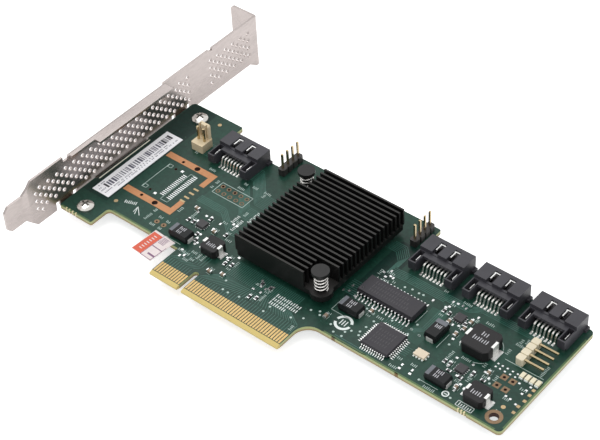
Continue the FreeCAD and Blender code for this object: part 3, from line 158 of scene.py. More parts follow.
def recolour(material, colour, mask):
    """Lays a second colour over a material's own where mask(tree) gives 1."""
    tree = material.node_tree
    shader = tree.nodes["Principled BSDF"]
    own = shader.inputs["Base Color"].links[0].from_socket
    over = tree.nodes.new("ShaderNodeMix")
    over.data_type = "RGBA"
    tree.links.new(own, over.inputs[MIX_FIRST])
    over.inputs[MIX_SECOND].default_value = (*colour, 1.0)
    tree.links.new(mask(tree), over.inputs[MIX_SHARE])
    tree.links.new(over.outputs[MIX_RESULT], shader.inputs["Base Color"])


def part_of(tree, node_type, output, axis):
    """One axis of a vector that a node gives."""
    source = tree.nodes.new(node_type)
    split = tree.nodes.new("ShaderNodeSeparateXYZ")
    tree.links.new(source.outputs[output], split.inputs["Vector"])
    return split.outputs[axis]


def normal_z(tree):
    """How far a face looks up, from -1 to 1."""
    return part_of(tree, "ShaderNodeNewGeometry", "True Normal", "Z")


def coordinate(tree, axis):
    """The object's own coordinate, in metres."""
    return part_of(tree, "ShaderNodeTexCoord", "Object", axis)


def steepness(tree):
    """The square of the normal's Z: 0 on faces that stand up, 1 on faces that lie flat."""
    height = normal_z(tree)
    return maths(tree, height, "MULTIPLY", height)


def upright(tree):
    """1 on faces that stand up."""
    return maths(tree, steepness(tree), "LESS_THAN", STANDING)


def facing_up(tree):
    """1 on faces that look up."""
    return maths(tree, normal_z(tree), "GREATER_THAN", UPWARD)


def on_bevel(tree):
    """1 on the sloping faces and the edge of the connector tab."""
    sloping = maths(tree, steepness(tree), "LESS_THAN", FLAT)
    return maths(tree, sloping, "MULTIPLY", maths(tree, coordinate(tree, "Y"), "LESS_THAN", BEVEL_TOP * MM))


def beyond(axis, limit):
    """A mask that is 1 where a coordinate is above the limit."""
    return lambda tree: maths(tree, coordinate(tree, axis), "GREATER_THAN", limit * MM)


def in_both(first, second):
    """A mask that is 1 where two others are."""
    return lambda tree: maths(tree, first(tree), "MULTIPLY", second(tree))


mask_green = surface("solder_mask_green", (0.008, 0.042, 0.028), 0.36, 0.3, 1.4, 0.006, specular=0.28)
recolour(mask_green, (0.35, 0.27, 0.14), upright)
recolour(mask_green, (0.4, 0.44, 0.2), in_both(upright, beyond("Z", MID_BOARD)))
recolour(mask_green, (0.6, 0.47, 0.16), on_bevel)
track_green = surface("track_green", (0.038, 0.118, 0.092), 0.32, 0.2, 0.9, 0.003, specular=0.3)
pour_green = surface("ground_plane_green", (0.013, 0.058, 0.040), 0.34, 0.22, 1.8, 0.004, specular=0.28)
laminate_and_shade_green = surface("laminate_and_painted_shade_green", (0.002, 0.022, 0.016), 0.36, 0.3, 1.4, 0.006, specular=0.28)
margin_green = surface("board_margin_green", (0.085, 0.150, 0.062), 0.4, 0.25, 0.9, 0.004, specular=0.28)
mark_gold = surface("edge_mark_gold", (0.78, 0.68, 0.42), 0.45, 0.06, 0.5, 0.002, specular=0.3)
gold = surface("contact_gold_plate", (0.41, 0.285, 0.12), 0.3, 0.1, 0.5, 0.002, metallic=0.85)
dull_gold = surface("plated_land", (0.2, 0.13, 0.075), 0.42, 0.18, 0.3, 0.004, metallic=0.6)
spot_gold = surface("small_land_gold", (0.42, 0.31, 0.17), 0.4, 0.15, 0.3, 0.003, metallic=0.6)
barrel_copper_and_shade = surface("hole_barrel", (0.045, 0.016, 0.010), 0.55, 0.2, 0.3, 0.004, specular=0.3)
stub_brown = surface("panel_stub_brown", (0.16, 0.1, 0.03), 0.6, 0.25, 0.3, 0.004)
socket_dark = surface("screw_socket_shade", (0.17, 0.165, 0.155), 0.45, 0.2, 0.3, 0.003, metallic=0.6)
rim_resin_and_highlight = surface("board_rim_resin", (0.92, 0.9, 0.76), 0.5, 0.12, 0.6, 0.003)
pin_gold = surface("pin_plate", (0.5, 0.4, 0.24), 0.2, 0.1, 0.5, 0.002, metallic=0.95)
steel = surface("bracket_plate_steel", (0.42, 0.375, 0.36), 0.28, 0.1, 0.5, 0.004, metallic=0.95,
                stretch=(1.0, 0.25, 1.0))
screw_metal = surface("screw_nickel", (0.7, 0.68, 0.64), 0.22, 0.1, 0.3, 0.003, metallic=0.95)
tin = surface("tin_plate", (0.74, 0.74, 0.73), 0.26, 0.12, 0.3, 0.004, metallic=0.9)
contact_tin = surface("receptacle_contact_tin", (0.72, 0.71, 0.68), 0.24, 0.1, 0.3, 0.003, metallic=0.9)
# Painted shade: past HOOD_REAR the contacts are painted near black for the shade inside the receptacles'
# hoods.
recolour(contact_tin, (0.020, 0.018, 0.018), beyond("Y", HOOD_REAR))
joint_tin = surface("terminal_tin", (0.78, 0.78, 0.76), 0.3, 0.12, 0.3, 0.004, metallic=0.45)
solder = surface("solder_alloy", (0.68, 0.69, 0.69), 0.24, 0.14, 0.4, 0.008, metallic=0.85)
receptacle = surface("receptacle_nylon", (0.040, 0.039, 0.047), 0.42, 0.16, 0.25, 0.006, specular=0.36)
header_black = surface("header_nylon_black", (0.026, 0.024, 0.023), 0.46, 0.16, 0.25, 0.004)
header_cream = surface("header_nylon_cream", (0.66, 0.55, 0.37), 0.44, 0.08, 0.4, 0.004)
header_pale = surface("header_nylon_pale", (0.7, 0.63, 0.47), 0.44, 0.07, 0.4, 0.004)
epoxy = surface("package_epoxy", (0.027, 0.025, 0.031), 0.5, 0.18, 0.15, 0.006, specular=0.36)
small_epoxy = surface("small_package_epoxy", (0.022, 0.020, 0.023), 0.46, 0.18, 0.15, 0.005)
anodised = surface("anodised_aluminium", (0.006, 0.006, 0.006), 0.42, 0.22, 0.35, 0.004, metallic=0.3,
                   specular=0.3, stretch=(0.25, 1.0, 1.0))
# Painted highlight: the heatsink's faces that look up, its fin tops, are painted lighter grey for the light
# they catch.
recolour(anodised, (0.024, 0.023, 0.022), facing_up)
pad_grey = surface("thermal_pad_grey", (0.34, 0.35, 0.37), 0.75, 0.1, 0.4, 0.006)
pin_black = surface("push_pin_nylon", (0.008, 0.008, 0.008), 0.4, 0.2, 0.3, 0.003, specular=0.3)
spring_steel = surface("spring_wire_steel", (0.78, 0.76, 0.73), 0.22, 0.1, 0.3, 0.002, metallic=0.8)
ferrite = surface("ferrite_grey", (0.011, 0.010, 0.011), 0.46, 0.25, 0.18, 0.008, specular=0.28)
tantalum = surface("tantalum_epoxy", (0.005, 0.006, 0.007), 0.46, 0.2, 0.15, 0.005, specular=0.25)
ceramic_cream = surface("ceramic_cream", (0.68, 0.58, 0.44), 0.5, 0.08, 0.3, 0.005)
ceramic_tan = surface("ceramic_tan", (0.27, 0.2, 0.14), 0.5, 0.2, 0.15, 0.004)
lamp_cream = surface("lamp_resin", (0.74, 0.68, 0.5), 0.32, 0.08, 0.4, 0.003, coat=0.3)
paper = surface("label_paper", (0.9, 0.9, 0.93), 0.6, 0.03, 0.5, 0.003)
ink = surface("label_ink", (0.030, 0.029, 0.040), 0.6, 0.15, 0.2, 0.002)
grey_ink = surface("label_grey_ink", (0.11, 0.11, 0.15), 0.6, 0.15, 0.2, 0.002)
pale_ink = surface("label_pale_ink", (0.22, 0.22, 0.26), 0.6, 0.12, 0.2, 0.002)
sticker_red = surface("sticker_film_red", (0.64, 0.115, 0.065), 0.5, 0.08, 0.6, 0.003, specular=0.3)
sticker_white = surface("sticker_film_white", (0.74, 0.66, 0.65), 0.5, 0.05, 0.6, 0.003, specular=0.3)
sticker_ink = surface("sticker_ink_violet", (0.2, 0.1, 0.18), 0.5, 0.1, 0.3, 0.002)
copper = surface("bare_copper_plate", (0.46, 0.205, 0.085), 0.4, 0.1, 1.2, 0.004, metallic=0.25)
silk = surface("silkscreen_white", (0.44, 0.55, 0.51), 0.55, 0.14, 0.3, 0.003)
bright_silk = surface("silkscreen_bright", (0.76, 0.82, 0.8), 0.55, 0.06, 0.3, 0.003)
package_print = surface("package_print", (0.5, 0.5, 0.53), 0.55, 0.2, 0.2, 0.002)
faint_print = surface("faint_package_print", (0.040, 0.038, 0.044), 0.45, 0.2, 0.2, 0.002)
band = surface("polarity_band", (0.12, 0.13, 0.15), 0.45, 0.12, 0.2, 0.002)

FINISHES = (
    (mask_green, "circuit_board"), (gold, "edge_contacts"), (steel, "bracket"),
    (screw_metal, "bracket_screws"),
    (receptacle, "sata_housing_1 sata_housing_2 sata_housing_3 sata_housing_4"),
    (contact_tin, "sata_contacts_1 sata_contacts_2 sata_contacts_3 sata_contacts_4"),
    (tin, "sata_clips memory_chip_leads logic_chip_leads"), (header_black, "led_header_1 led_header_2"),
    (header_pale, "side_header"), (header_cream, "lock_header"),
    (pin_gold, "led_header_1_pins led_header_2_pins side_header_pins lock_header_pins"),
    (epoxy, "controller_chip memory_chip logic_chip"), (small_epoxy, "regulator_chips chip_resistors"),
    (anodised, "heatsink"), (pad_grey, "thermal_pad"), (pin_black, "push_pins"),
    (spring_steel, "push_pin_springs"), (ferrite, "inductor_cores"), (tantalum, "tantalum_capacitors"),
    (joint_tin, "inductor_terminals tantalum_terminals"), (ceramic_cream, "resistor_network"),
    (lamp_cream, "status_lamps"), (paper, "barcode_label"), (sticker_white, "seal_sticker"),
    (copper, "bare_copper"), (dull_gold, "plated_pads"), (ceramic_tan, "chip_capacitors"),
    (solder, "chip_end_caps"),
)
finish_of = {name: finish for finish, names in FINISHES for name in names.split()}
for name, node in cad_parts.items():
    node.data.materials.clear()
    node.data.materials.append(finish_of[name])


# ------ mesh helpers

def polar(x, y, radius, turn):
    """The point at a radius and a turn (radians) about x, y."""
    return x + radius * math.cos(turn), y + radius * math.sin(turn)


def rectangle(x_low, x_high, y_low, y_high):
    """The corners of a rectangle, anticlockwise."""
    return [(x_low, y_low), (x_high, y_low), (x_high, y_high), (x_low, y_high)]


class Shape:
    """Collects solid pieces, all in millimetres, for one object."""

    def __init__(self):
        self.mesh = bmesh.new()

    def solid(self, *outlines):
        """A solid through outlines of equally many points, each with its level."""
        loops = [[self.mesh.verts.new((x * MM, y * MM, level * MM)) for x, y in outline]
                 for outline, level in outlines]
        self.mesh.faces.new(loops[-1])
        self.mesh.faces.new(list(reversed(loops[0])))
        for lower, upper in zip(loops, loops[1:]):
            for index in range(len(lower)):
                after = (index + 1) % len(lower)
                self.mesh.faces.new((lower[index], lower[after], upper[after], upper[index]))

    def prism(self, outline, low, high):
        """A straight prism over a flat outline that runs anticlockwise."""
        self.solid((outline, low), (outline, high))

    def block(self, x_low, x_high, y_low, y_high, low, high):
        """A box along the axes."""
        self.prism(rectangle(x_low, x_high, y_low, y_high), low, high)

    def bar(self, start, end, width, low, high):
        """A straight bar between two points."""
        along = (Vector(end) - Vector(start)).normalized() * (width / 2)
        side = Vector((along.y, -along.x))
        corners = [Vector(start) + side - along, Vector(end) + side + along,
                   Vector(end) - side + along, Vector(start) - side - along]
        self.prism([tuple(corner) for corner in corners], low, high)

    def line(self, points, width, low, high):
        """Straight bars from point to point."""
        for start, end in zip(points, points[1:]):
            self.bar(start, end, width, low, high)

    def disc(self, x, y, radius, low, high, sides=20):
        """A flat round piece."""
        self.prism([polar(x, y, radius, 2 * math.pi * index / sides) for index in range(sides)], low, high)

    def ring(self, x, y, inner, outer, low, high, start=0.0, sweep=360.0, sides=24):
        """A flat ring, or a part of one, in short prisms."""
        steps = max(2, round(sides * sweep / 360))
        turns = [math.radians(start + sweep * index / steps) for index in range(steps + 1)]
        for first, second in zip(turns, turns[1:]):
            self.prism([polar(x, y, inner, first), polar(x, y, outer, first),
                        polar(x, y, outer, second), polar(x, y, inner, second)], low, high)

    def dome(self, x, y, radius, low, high, sides=12):
        """A low solder fillet: wide at low, drawn in at high."""
        turns = [2 * math.pi * index / sides for index in range(sides)]
        self.solid(*[([polar(x, y, radius * share, turn) for turn in turns], low + (high - low) * rise)
                     for share, rise in ((1.0, 0.0), (0.72, 0.35), (0.5, 0.75), (0.42, 1.0))])

    def done(self, name, material, slot):
        """Turns what was collected into one object that rides on the part."""
        bmesh.ops.recalc_face_normals(self.mesh, faces=self.mesh.faces)
        data = bpy.data.meshes.new(name)
        self.mesh.to_mesh(data)
        self.mesh.free()
        data.materials.append(material)
        piece = bpy.data.objects.new(name, data)
        bpy.context.scene.collection.objects.link(piece)
        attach(piece, "root")


# ------ places taken from the frame

def box_mm(node):
    """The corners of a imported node's box, in millimetres."""
    low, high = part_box(node)
    return low / MM, high / MM


def solids(node):
    """The boxes, in millimetres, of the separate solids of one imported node, from left to right."""
    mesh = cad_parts[node].data
    parent = {}

    def root(key):
        """The key that stands for the whole solid."""
        while parent[key] != key:
            parent[key] = parent[parent[key]]
            key = parent[key]
        return key

    keys = [tuple(round(value / MM, 3) for value in vertex.co) for vertex in mesh.vertices]
    for key in keys:
        parent.setdefault(key, key)
    for polygon in mesh.polygons:
        first = root(keys[polygon.vertices[0]])
        for index in polygon.vertices:
            parent[root(keys[index])] = first
    groups = {}
    for key in parent:
        groups.setdefault(root(key), []).append(key)
    boxes = [[Vector([choose(values) for values in zip(*points)]) for choose in (min, max)]
             for points in groups.values()]
    return sorted(boxes, key=lambda pair: (round(pair[0].x, 1), round(pair[0].y, 1)))


board_low, board_high = box_mm("circuit_board")
sink_low, sink_high = box_mm("heatsink")
memory_low, memory_high = box_mm("memory_chip")
logic_low, logic_high = box_mm("logic_chip")
cream_low, cream_high = box_mm("resistor_network")
label_low, label_high = box_mm("barcode_label")
copper_low, copper_high = box_mm("bare_copper")
sticker_low, sticker_high = box_mm("seal_sticker")
lamps_low, lamps_high = box_mm("status_lamps")
contact_low, contact_high = box_mm("edge_contacts")
tantalums = solids("tantalum_capacitors")
chokes = solids("inductor_cores")
regulators = solids("regulator_chips")
receptacles = [box_mm(f"sata_housing_{number}") for number in range(1, 5)]

UNDERSIDE = board_low.z
LOWER_EDGE = 12.95   # the board's lower edge beside the connector tab
FOOT_EDGE = 4.8      # the board's lower edge at the bracket
SIDE_NOTCH = 1.1     # depth of the recess in the board's edge at the bracket
MARGIN = 0.6         # width of the strip along the cut edge that has no copper under its mask

# What small marks and pads are placed from: the low corners of large parts, the middles of small ones.
ANCHORS = {
    "copper": copper_low, "sink": sink_low, "memory": memory_low, "logic": logic_low, "lamps": lamps_low,
    "receptacle_a": receptacles[0][0],
}
for kind, boxes in (("choke", chokes), ("regulator", regulators), ("tantalum", tantalums)):
    for letter, (low, high) in zip("abcd", boxes):
        ANCHORS[f"{kind}_{letter}"] = (low + high) / 2


def shifted(anchor, *numbers):
    """Places on the board, as x and y in turn, from steps off an anchor."""
    origin = ANCHORS[anchor]
    return [number + (origin.y if index % 2 else origin.x) for index, number in enumerate(numbers)]


# ------ ground planes, tracks and vias

# Copper under the mask is a little lighter.
pours = Shape()
for limits in (
        (copper_high.x + 2.5, sink_low.x - 4.0, copper_low.y + 9.0, copper_high.y - 3.5),
        (memory_high.x + 0.8, tantalums[2][0].x + 0.4, memory_low.y - 6.0, memory_high.y + 2.0),
        (chokes[1][0].x - 3.0, chokes[1][1].x + 3.5, chokes[1][0].y + 0.5, chokes[1][1].y - 0.5)):
    pours.block(*limits, -SUNK, TRACE / 2)
pours.done("ground_planes", pour_green, "solder_mask")

hoods = receptacles[1][0].y
# Darker green patches: the one between the bracket and the label is a painted shade, where the bracket keeps
# light off the board; the others are simply a darker green.
darker_patches = Shape()
for limits in (
        (board_low.x + 0.5, label_high.x + 0.7, label_low.y - 1.5, board_high.y - 0.5),
        (sink_high.x + 0.6, memory_low.x + 4.4, memory_high.y + 2.2, hoods + 9.0),
        (sink_high.x + 0.6, memory_low.x - 0.6, tantalums[1][1].y + 1.4, memory_high.y + 2.2),
        (receptacles[2][1].x - 1.0, receptacles[3][0].x + 1.0, hoods - 1.5, hoods + 4.0),
        (receptacles[1][1].x - 1.0, receptacles[2][0].x + 1.0, hoods - 1.5, hoods + 4.0)):
    darker_patches.block(*limits, -SUNK, TRACE / 3)
darker_patches.done("darker_patches_and_painted_shade", laminate_and_shade_green, "solder_mask")

tracks = Shape()
CONTACT_PITCH = 1.0
LONG_SIDE = 38            # contacts to the right of the key notch with a track of their own
SHORT_SIDE = 10           # contacts to its left
FIRST_LONG = 1.5          # middle of the first contact to the right of the notch
FAN_MIDDLE = sink_low.x + 18.2
FAN_DRAW = 0.30           # how far the fan is drawn in towards its middle
CONTACT_TRACK = 0.26      # widths of tracks
BUNDLE_TRACK = 0.24
UNDER_TRACK = 0.25
CLOSE = 0.62              # pitches of tracks in a bundle
WIDE = 0.8
DOWN, UP, RIGHTWARD = (0.0, -1.0), (0.0, 1.0), (1.0, 0.0)

for index in range(LONG_SIDE):
    x = FIRST_LONG + index * CONTACT_PITCH
    fan = x + (FAN_MIDDLE - x) * FAN_DRAW
    tracks.line([(x, contact_high.y), (x, 8.0 + 0.06 * index), (fan, 13.5), (fan, sink_low.y + 0.6)],
                CONTACT_TRACK, *TRACK)
for index in range(SHORT_SIDE):
    x = contact_low.x + 0.4 + index * CONTACT_PITCH
    tracks.line([(x, contact_high.y), (x, 9.0), (x + 2.0, 11.0), (x + 2.0, 14.0 + index * 0.5)],
                CONTACT_TRACK, *TRACK)

# Bundles of parallel tracks: how many, their pitch, the way they are set off and the first one's points.
near = sink_low.x
far = sink_high.x
BUNDLES = (
    (10, CLOSE, DOWN, [(receptacles[0][0].x - 8.0, 56.5), (-14.0, 56.5), (near - 8.0, 48.0),
                       (near + 2.0, 48.0)]),
    (9, CLOSE, DOWN, [(receptacles[0][1].x + 1.5, 48.0), (near - 8.5, 40.5), (near + 2.0, 40.5)]),
    (5, CLOSE, DOWN, [(copper_high.x + 2.0, 35.6), (-12.0, 35.6), (near - 6.5, 30.0), (near + 2.0, 30.0)]),
    (7, CLOSE, (-0.4, -1.0), [(far - 1.0, 56.4), (far + 3.4, 56.4), (far + 6.4, 53.4), (far + 6.4, 47.6)]),
    (6, CLOSE, DOWN, [(far + 6.0, 47.0), (far + 12.0, 47.4), (far + 26.0, 47.4)]),
    (5, CLOSE, DOWN, [(far + 26.0, 47.6), (far + 34.0, 47.6), (far + 38.0, 50.0), (far + 58.0, 50.0)]),
    (4, CLOSE, RIGHTWARD, [(memory_high.x + 0.6, 29.0), (memory_high.x + 3.4, 31.8),
                           (memory_high.x + 3.4, 41.0)]),
    (8, WIDE, UP, [(far - 1.0, 30.0), (far + 3.4, 30.0)]),
    (5, WIDE, UP, [(logic_high.x + 1.0, 20.0), (logic_high.x + 3.4, 20.0)]),
    (8, WIDE, RIGHTWARD, [(logic_low.x + 0.4, 30.0), (logic_low.x + 0.4, 27.2)]),
    (3, CLOSE, UP, [(logic_low.x - 8.0, 13.0), (logic_low.x + 3.0, 13.0), (logic_low.x + 5.5, 14.4)]),
)
for count, pitch, across, points in BUNDLES:
    for index in range(count):
        tracks.line([(x + across[0] * pitch * index, y + across[1] * pitch * index) for x, y in points],
                    BUNDLE_TRACK, *TRACK)
tracks.done("tracks", track_green, "solder_mask")

under = Shape()
BELOW = (UNDERSIDE - TRACE, UNDERSIDE + SUNK)
UNDER_ROWS = 40
UNDER_COLUMNS = 24
for index in range(UNDER_ROWS):
    y = 16.0 + index * 0.9
    start = -30.0 + 8 * random.random()
    under.line([(start, y), (20.0 + 30 * random.random(), y)], UNDER_TRACK, *BELOW)
for index in range(UNDER_COLUMNS):
    x = 50.0 + index * 1.8
    under.line([(x, 20.0 + 6 * random.random()), (x, 44.0 + 8 * random.random())], UNDER_TRACK, *BELOW)
under.done("tracks_underneath", track_green, "solder_mask")

KEPT_CLEAR = [box_mm(node) for node in ("bare_copper", "barcode_label", "seal_sticker", "status_lamps",
                                        "side_header")]
VIA_CLEARANCE = 0.8
VIA_RADIUS = 0.28
VIA_RISE = TRACE + 0.004     # a via stands a little above the tracks
VIA_TRIES = 420


def free(x, y):
    """Whether a via may lie here: clear of copper, paper and headers, and of the hoods' row on the right."""
    if any(low.x - VIA_CLEARANCE < x < high.x + VIA_CLEARANCE
           and low.y - VIA_CLEARANCE < y < high.y + VIA_CLEARANCE for low, high in KEPT_CLEAR):
        return False
    return x < far or y < hoods


vias = Shape()
for _ in range(VIA_TRIES):
    x = random.uniform(board_low.x + 9.0, board_high.x - 3.0)
    y = random.uniform(16.0, board_high.y - 11.0)
    if free(x, y):
        vias.disc(x, y, VIA_RADIUS, -SUNK, VIA_RISE, 8)
        vias.disc(x, y, VIA_RADIUS, UNDERSIDE - VIA_RISE, UNDERSIDE + SUNK, 8)
vias.done("vias", pour_green, "solder_mask")

# ------ bare pads and the board's edge

def pad(shape, x, y, half_x, half_y, levels=BARE_PAD):
    """A bare rectangular pad around its middle."""
    shape.block(x - half_x, x + half_x, y - half_y, y + half_y, *levels)


small_lands = Shape()
for step in (13.8, 11.6, 9.3, 7.3):
    pad(small_lands, copper_high.x - 1.3, copper_low.y + step, 1.0, 0.35)
for step, y in ((1.4, 31.5), (1.3, 29.3), (1.2, 26.7), (1.5, 24.0), (1.3, 21.4)):
    pad(small_lands, board_high.x - step, y, 0.5, 0.5)
for x, y in ((board_high.x - 4.7, 21.3), (board_low.x + 14.9, 65.25), (board_low.x + 13.3, 17.05)):
    small_lands.disc(x, y, 0.7, *BARE_PAD)
small_lands.done("small_lands", spot_gold, "contact_gold")

# Short gold stripes that run over the board's edge.
MARK_HALF = 0.24
MARK_REACH = 0.5
edge_marks = Shape()
for places, edge in (((94.7, 95.8, 96.8), LOWER_EDGE), ((-53.2, -51.9, -50.4, -49.0), FOOT_EDGE)):
    for x in places:
        edge_marks.block(x - MARK_HALF, x + MARK_HALF, edge - SUNK, edge + MARK_REACH, *BARE_PAD)
        edge_marks.block(x - MARK_HALF, x + MARK_HALF, edge - LAND, edge + SUNK, UNDERSIDE + 0.2, LAND)
edge_marks.done("edge_marks", mark_gold, "contact_gold")

# A bright cream strip on the board along the recess at the bracket: pale laminate colour, painted bright as
# a painted highlight for the lit edge beside it.
rim = Shape()
rim_left = board_low.x + SIDE_NOTCH + 0.02
rim.block(rim_left, rim_left + 0.4, 21.6, 45.6, *TRACK)
rim.done("board_rim", rim_resin_and_highlight, "solder_mask")

margins = Shape()
margins.block(board_high.x - MARGIN, board_high.x - SUNK, LOWER_EDGE + 2.0, 57.0, *TRACK)
for x_low, x_high, edge in (
        (46.0, board_high.x - 2.0, LOWER_EDGE), (board_low.x + 15.7, sticker_low.x, LOWER_EDGE),
        (board_low.x + 0.8, board_low.x + 13.3, FOOT_EDGE)):
    margins.block(x_low, x_high, edge + SUNK, edge + MARGIN, *TRACK)
margins.done("board_margins", margin_green, "solder_mask")


# Radii of the board's drilled holes.
MOUNTING_HOLE = 1.5
PEG_HOLE = 1.0
STRIP_HOLE = 0.55
PIN_HOLE = 0.5
TEST_HOLE = 0.35
BARREL_WALL = 0.08


def hole_in_land(half):
    """The radius of the hole in a plated land; half the land's width tells the kinds of land apart."""
    if half > 2.0:
        return MOUNTING_HOLE
    return TEST_HOLE if 0.85 < half < 1.0 else PIN_HOLE


# Copper linings of the drilled holes, painted a near black brown: copper in part, and in part a painted
# shade for the dark inside the holes.
barrels = Shape()
holes = [((low.x + high.x) / 2, (low.y + high.y) / 2, hole_in_land((high.x - low.x) / 2))
         for low, high in solids("plated_pads")]
holes += [(copper_low.x + x_step, y, radius) for x_step, y, radius in (
    (7.0, copper_high.y - 1.45, STRIP_HOLE), (13.0, copper_high.y - 1.25, PEG_HOLE),
    (7.0, copper_low.y + 1.45, STRIP_HOLE), (13.0, copper_low.y + 1.25, PEG_HOLE),
    (7.35, copper_low.y + 5.1, PIN_HOLE), (7.35, copper_low.y + 17.3, PIN_HOLE))]
for x, y, radius in holes:
    barrels.ring(x, y, radius - BARREL_WALL, radius + SUNK, UNDERSIDE + SUNK, LAND)
barrels.done("hole_barrels", barrel_copper_and_shade, "copper")

# Ends of the webs that held the board in its panel.
stubs = Shape()
STUB_HALF = 0.6
for x in (49.8, 73.0):
    stubs.block(x - STUB_HALF, x + STUB_HALF, LOWER_EDGE - LAND, LOWER_EDGE + 0.3, UNDERSIDE + 0.1, TRACE)
stubs.done("panel_stubs", stub_brown, "solder_mask")

# Painted shade: a dark cross laid on the floor of each screw's cross recess, where shade falls.
CROSS_ARM = 1.45
CROSS_HALF = 0.32
CROSS_FLOOR = 0.76
CROSS_LEVELS = (CROSS_FLOOR - SUNK, CROSS_FLOOR + 0.3)
sockets = Shape()
for low, high in solids("bracket_screws"):
    x, y = (low.x + high.x) / 2, (low.y + high.y) / 2
    pad(sockets, x, y, CROSS_ARM, CROSS_HALF, CROSS_LEVELS)
    for y_low, y_high in ((y - CROSS_ARM, y - CROSS_HALF), (y + CROSS_HALF, y + CROSS_ARM)):
        sockets.block(x - CROSS_HALF, x + CROSS_HALF, y_low, y_high, *CROSS_LEVELS)
sockets.done("screw_sockets", socket_dark, "screw_steel")

# Bare pads that no part fills: an unused connector's first, then those around the lamps.
EMPTY_PITCH = 0.78
tinned = Shape()
for step in (17.7, 4.7):
    pad(tinned, *shifted("copper", 9.9, step), 0.5, 0.45)
for x_step, half, first, count in ((12.0, 0.8, 5.7, 15), (15.2, 0.9, 5.5, 17)):
    for index in range(count):
        pad(tinned, *shifted("copper", x_step, first + index * EMPTY_PITCH), half, 0.15)
for row in (0.9, -0.5):
    for column in (-7.7, -6.2, -4.5, -2.7, -1.0):
        pad(tinned, *shifted("lamps", column, row), 0.28, 0.26)
for step in ((4.9, -8.8), (2.6, -8.1), (1.0, -7.9), (4.1, -4.5), (4.4, -2.7), (4.7, -1.0), (1.3, -1.7)):
    pad(tinned, *shifted("lamps", *step), 0.35, 0.3)

# Single empty pads around the small parts, as steps from an anchor; every second one stands upright.
PADS = (
    ("tantalum_a", ((5.3, 0.1), (4.4, 1.7), (5.6, 1.0))),
    ("regulator_a", ((-5.3, 3.8), (-0.1, 4.5), (-1.8, 4.0), (4.1, 3.9), (-3.2, -1.2), (-2.6, 0.7),
        (2.3, -3.4), (2.5, -5.2), (4.0, 0.9))),
    ("choke_a", ((6.4, -1.8), (6.4, 0.5), (8.5, 2.4), (3.7, -1.2), (5.6, 0.3), (-5.9, -7.0), (-8.1, -5.4),
        (-7.0, -7.9))),
    ("sink", ((17.6, -3.6), (19.4, -3.6), (20.9, -1.6), (16.3, -1.5), (19.3, -7.9), (19.1, -5.6),
        (16.3, -5.7), (-7.2, 12.0), (-5.8, 12.0))),
    ("memory", ((0.2, -1.1), (-3.0, 2.0), (-2.6, -0.4), (-4.3, -1.1), (3.6, 12.0), (4.7, 11.8), (2.4, 10.9),
        (2.5, 13.9), (0.8, 12.2), (19.8, 11.6))),
    ("regulator_b", ((-5.5, 2.2), (-5.7, 4.5), (-4.1, 4.7), (-2.5, 4.9), (-6.2, 1.4), (-1.1, 4.6),
        (-2.3, -2.4), (-0.4, -3.2), (1.3, -2.5), (2.8, -3.1), (2.1, -4.9), (2.2, -6.1), (3.0, -7.7),
        (3.2, 2.0), (3.4, 0.0), (4.0, 3.7))),
    ("regulator_c", ((-4.3, 0.7), (-4.0, -1.0), (-3.7, 3.0), (1.5, 3.7), (3.3, 1.6), (3.5, -0.1), (5.9, 3.5),
        (8.0, 2.1), (0.3, -2.6), (1.9, -3.2))),
    ("choke_c", ((-7.7, 0.2), (-7.0, -1.5), (-6.9, 1.4), (-5.2, 0.7))),
    ("logic", ((18.5, -0.4), (18.3, 1.1), (14.8, -0.5), (14.7, 1.1))),
)
for anchor, steps in PADS:
    for index, step in enumerate(steps):
        halves = (0.30, 0.45) if index % 2 else (0.42, 0.34)
        pad(tinned, *shifted(anchor, *step), *halves)

# Ends of the regulators' leads, which stand a little higher.
LEAD_HALF = 0.16
LEAD_REACH = 0.25
LEAD_PITCH = 0.73
LEAD = (-SUNK, 0.12)
for low, high in regulators:
    for index in range(4):
        step = 0.4 + index * LEAD_PITCH
        for x in (low.x - LEAD_REACH, high.x + LEAD_REACH):
            pad(tinned, x, low.y + step, LEAD_REACH, LEAD_HALF, LEAD)
        for y in (low.y - LEAD_REACH, high.y + LEAD_REACH):
            pad(tinned, low.x + step, y, LEAD_HALF, LEAD_REACH, LEAD)

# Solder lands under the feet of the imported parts.
for number in range(1, 5):
    for low, high in solids(f"sata_contacts_{number}"):
        tinned.block(low.x - 0.12, high.x + 0.12, low.y - 0.25, low.y + 1.1, *BARE_PAD)
for low, high in solids("memory_chip_leads"):
    toe = low.y - 0.5 if low.y < memory_low.y else high.y - 0.4
    tinned.block(low.x, high.x, toe, toe + 0.9, *BARE_PAD)
for low, high in solids("logic_chip_leads"):
    if high.x - low.x > high.y - low.y:
        toe = low.x - 0.4 if low.x < logic_low.x else high.x - 0.1
        tinned.block(toe, toe + 0.5, low.y + 0.07, high.y - 0.07, *BARE_PAD)
    else:
        toe = low.y - 0.4 if low.y < logic_low.y else high.y - 0.1
        tinned.block(low.x + 0.07, high.x - 0.07, toe, toe + 0.5, *BARE_PAD)
for low, high in solids("inductor_terminals"):
    tinned.block(low.x - 0.2, high.x + 0.2, low.y - 0.2, high.y + 0.2, *BARE_PAD)
tinned.done("tinned_pads", solder, "tin")

# ------ silkscreen

prints = Shape()
TICK_SHARES = (1.0, 0.72, 0.9)   # the ticks of a row differ in height
TICK_HEIGHT = 0.85
OUTLINE = 0.18       # widths of printed lines
LINE = 0.16
THIN = 0.14
FINE = 0.11


def print_line(*points, width=LINE):
    """A printed line from point to point."""
    prints.line(points, width, *PRINT)


def print_frame(shape, x_low, y_low, x_high, y_high, width=THIN):
    """The printed outline of a rectangle."""
    corners = rectangle(x_low, x_high, y_low, y_high)
    shape.line(corners + corners[:1], width, *PRINT)


def on_top(level):
    """The levels of print on a surface at this level."""
    return level - SUNK, level + INK


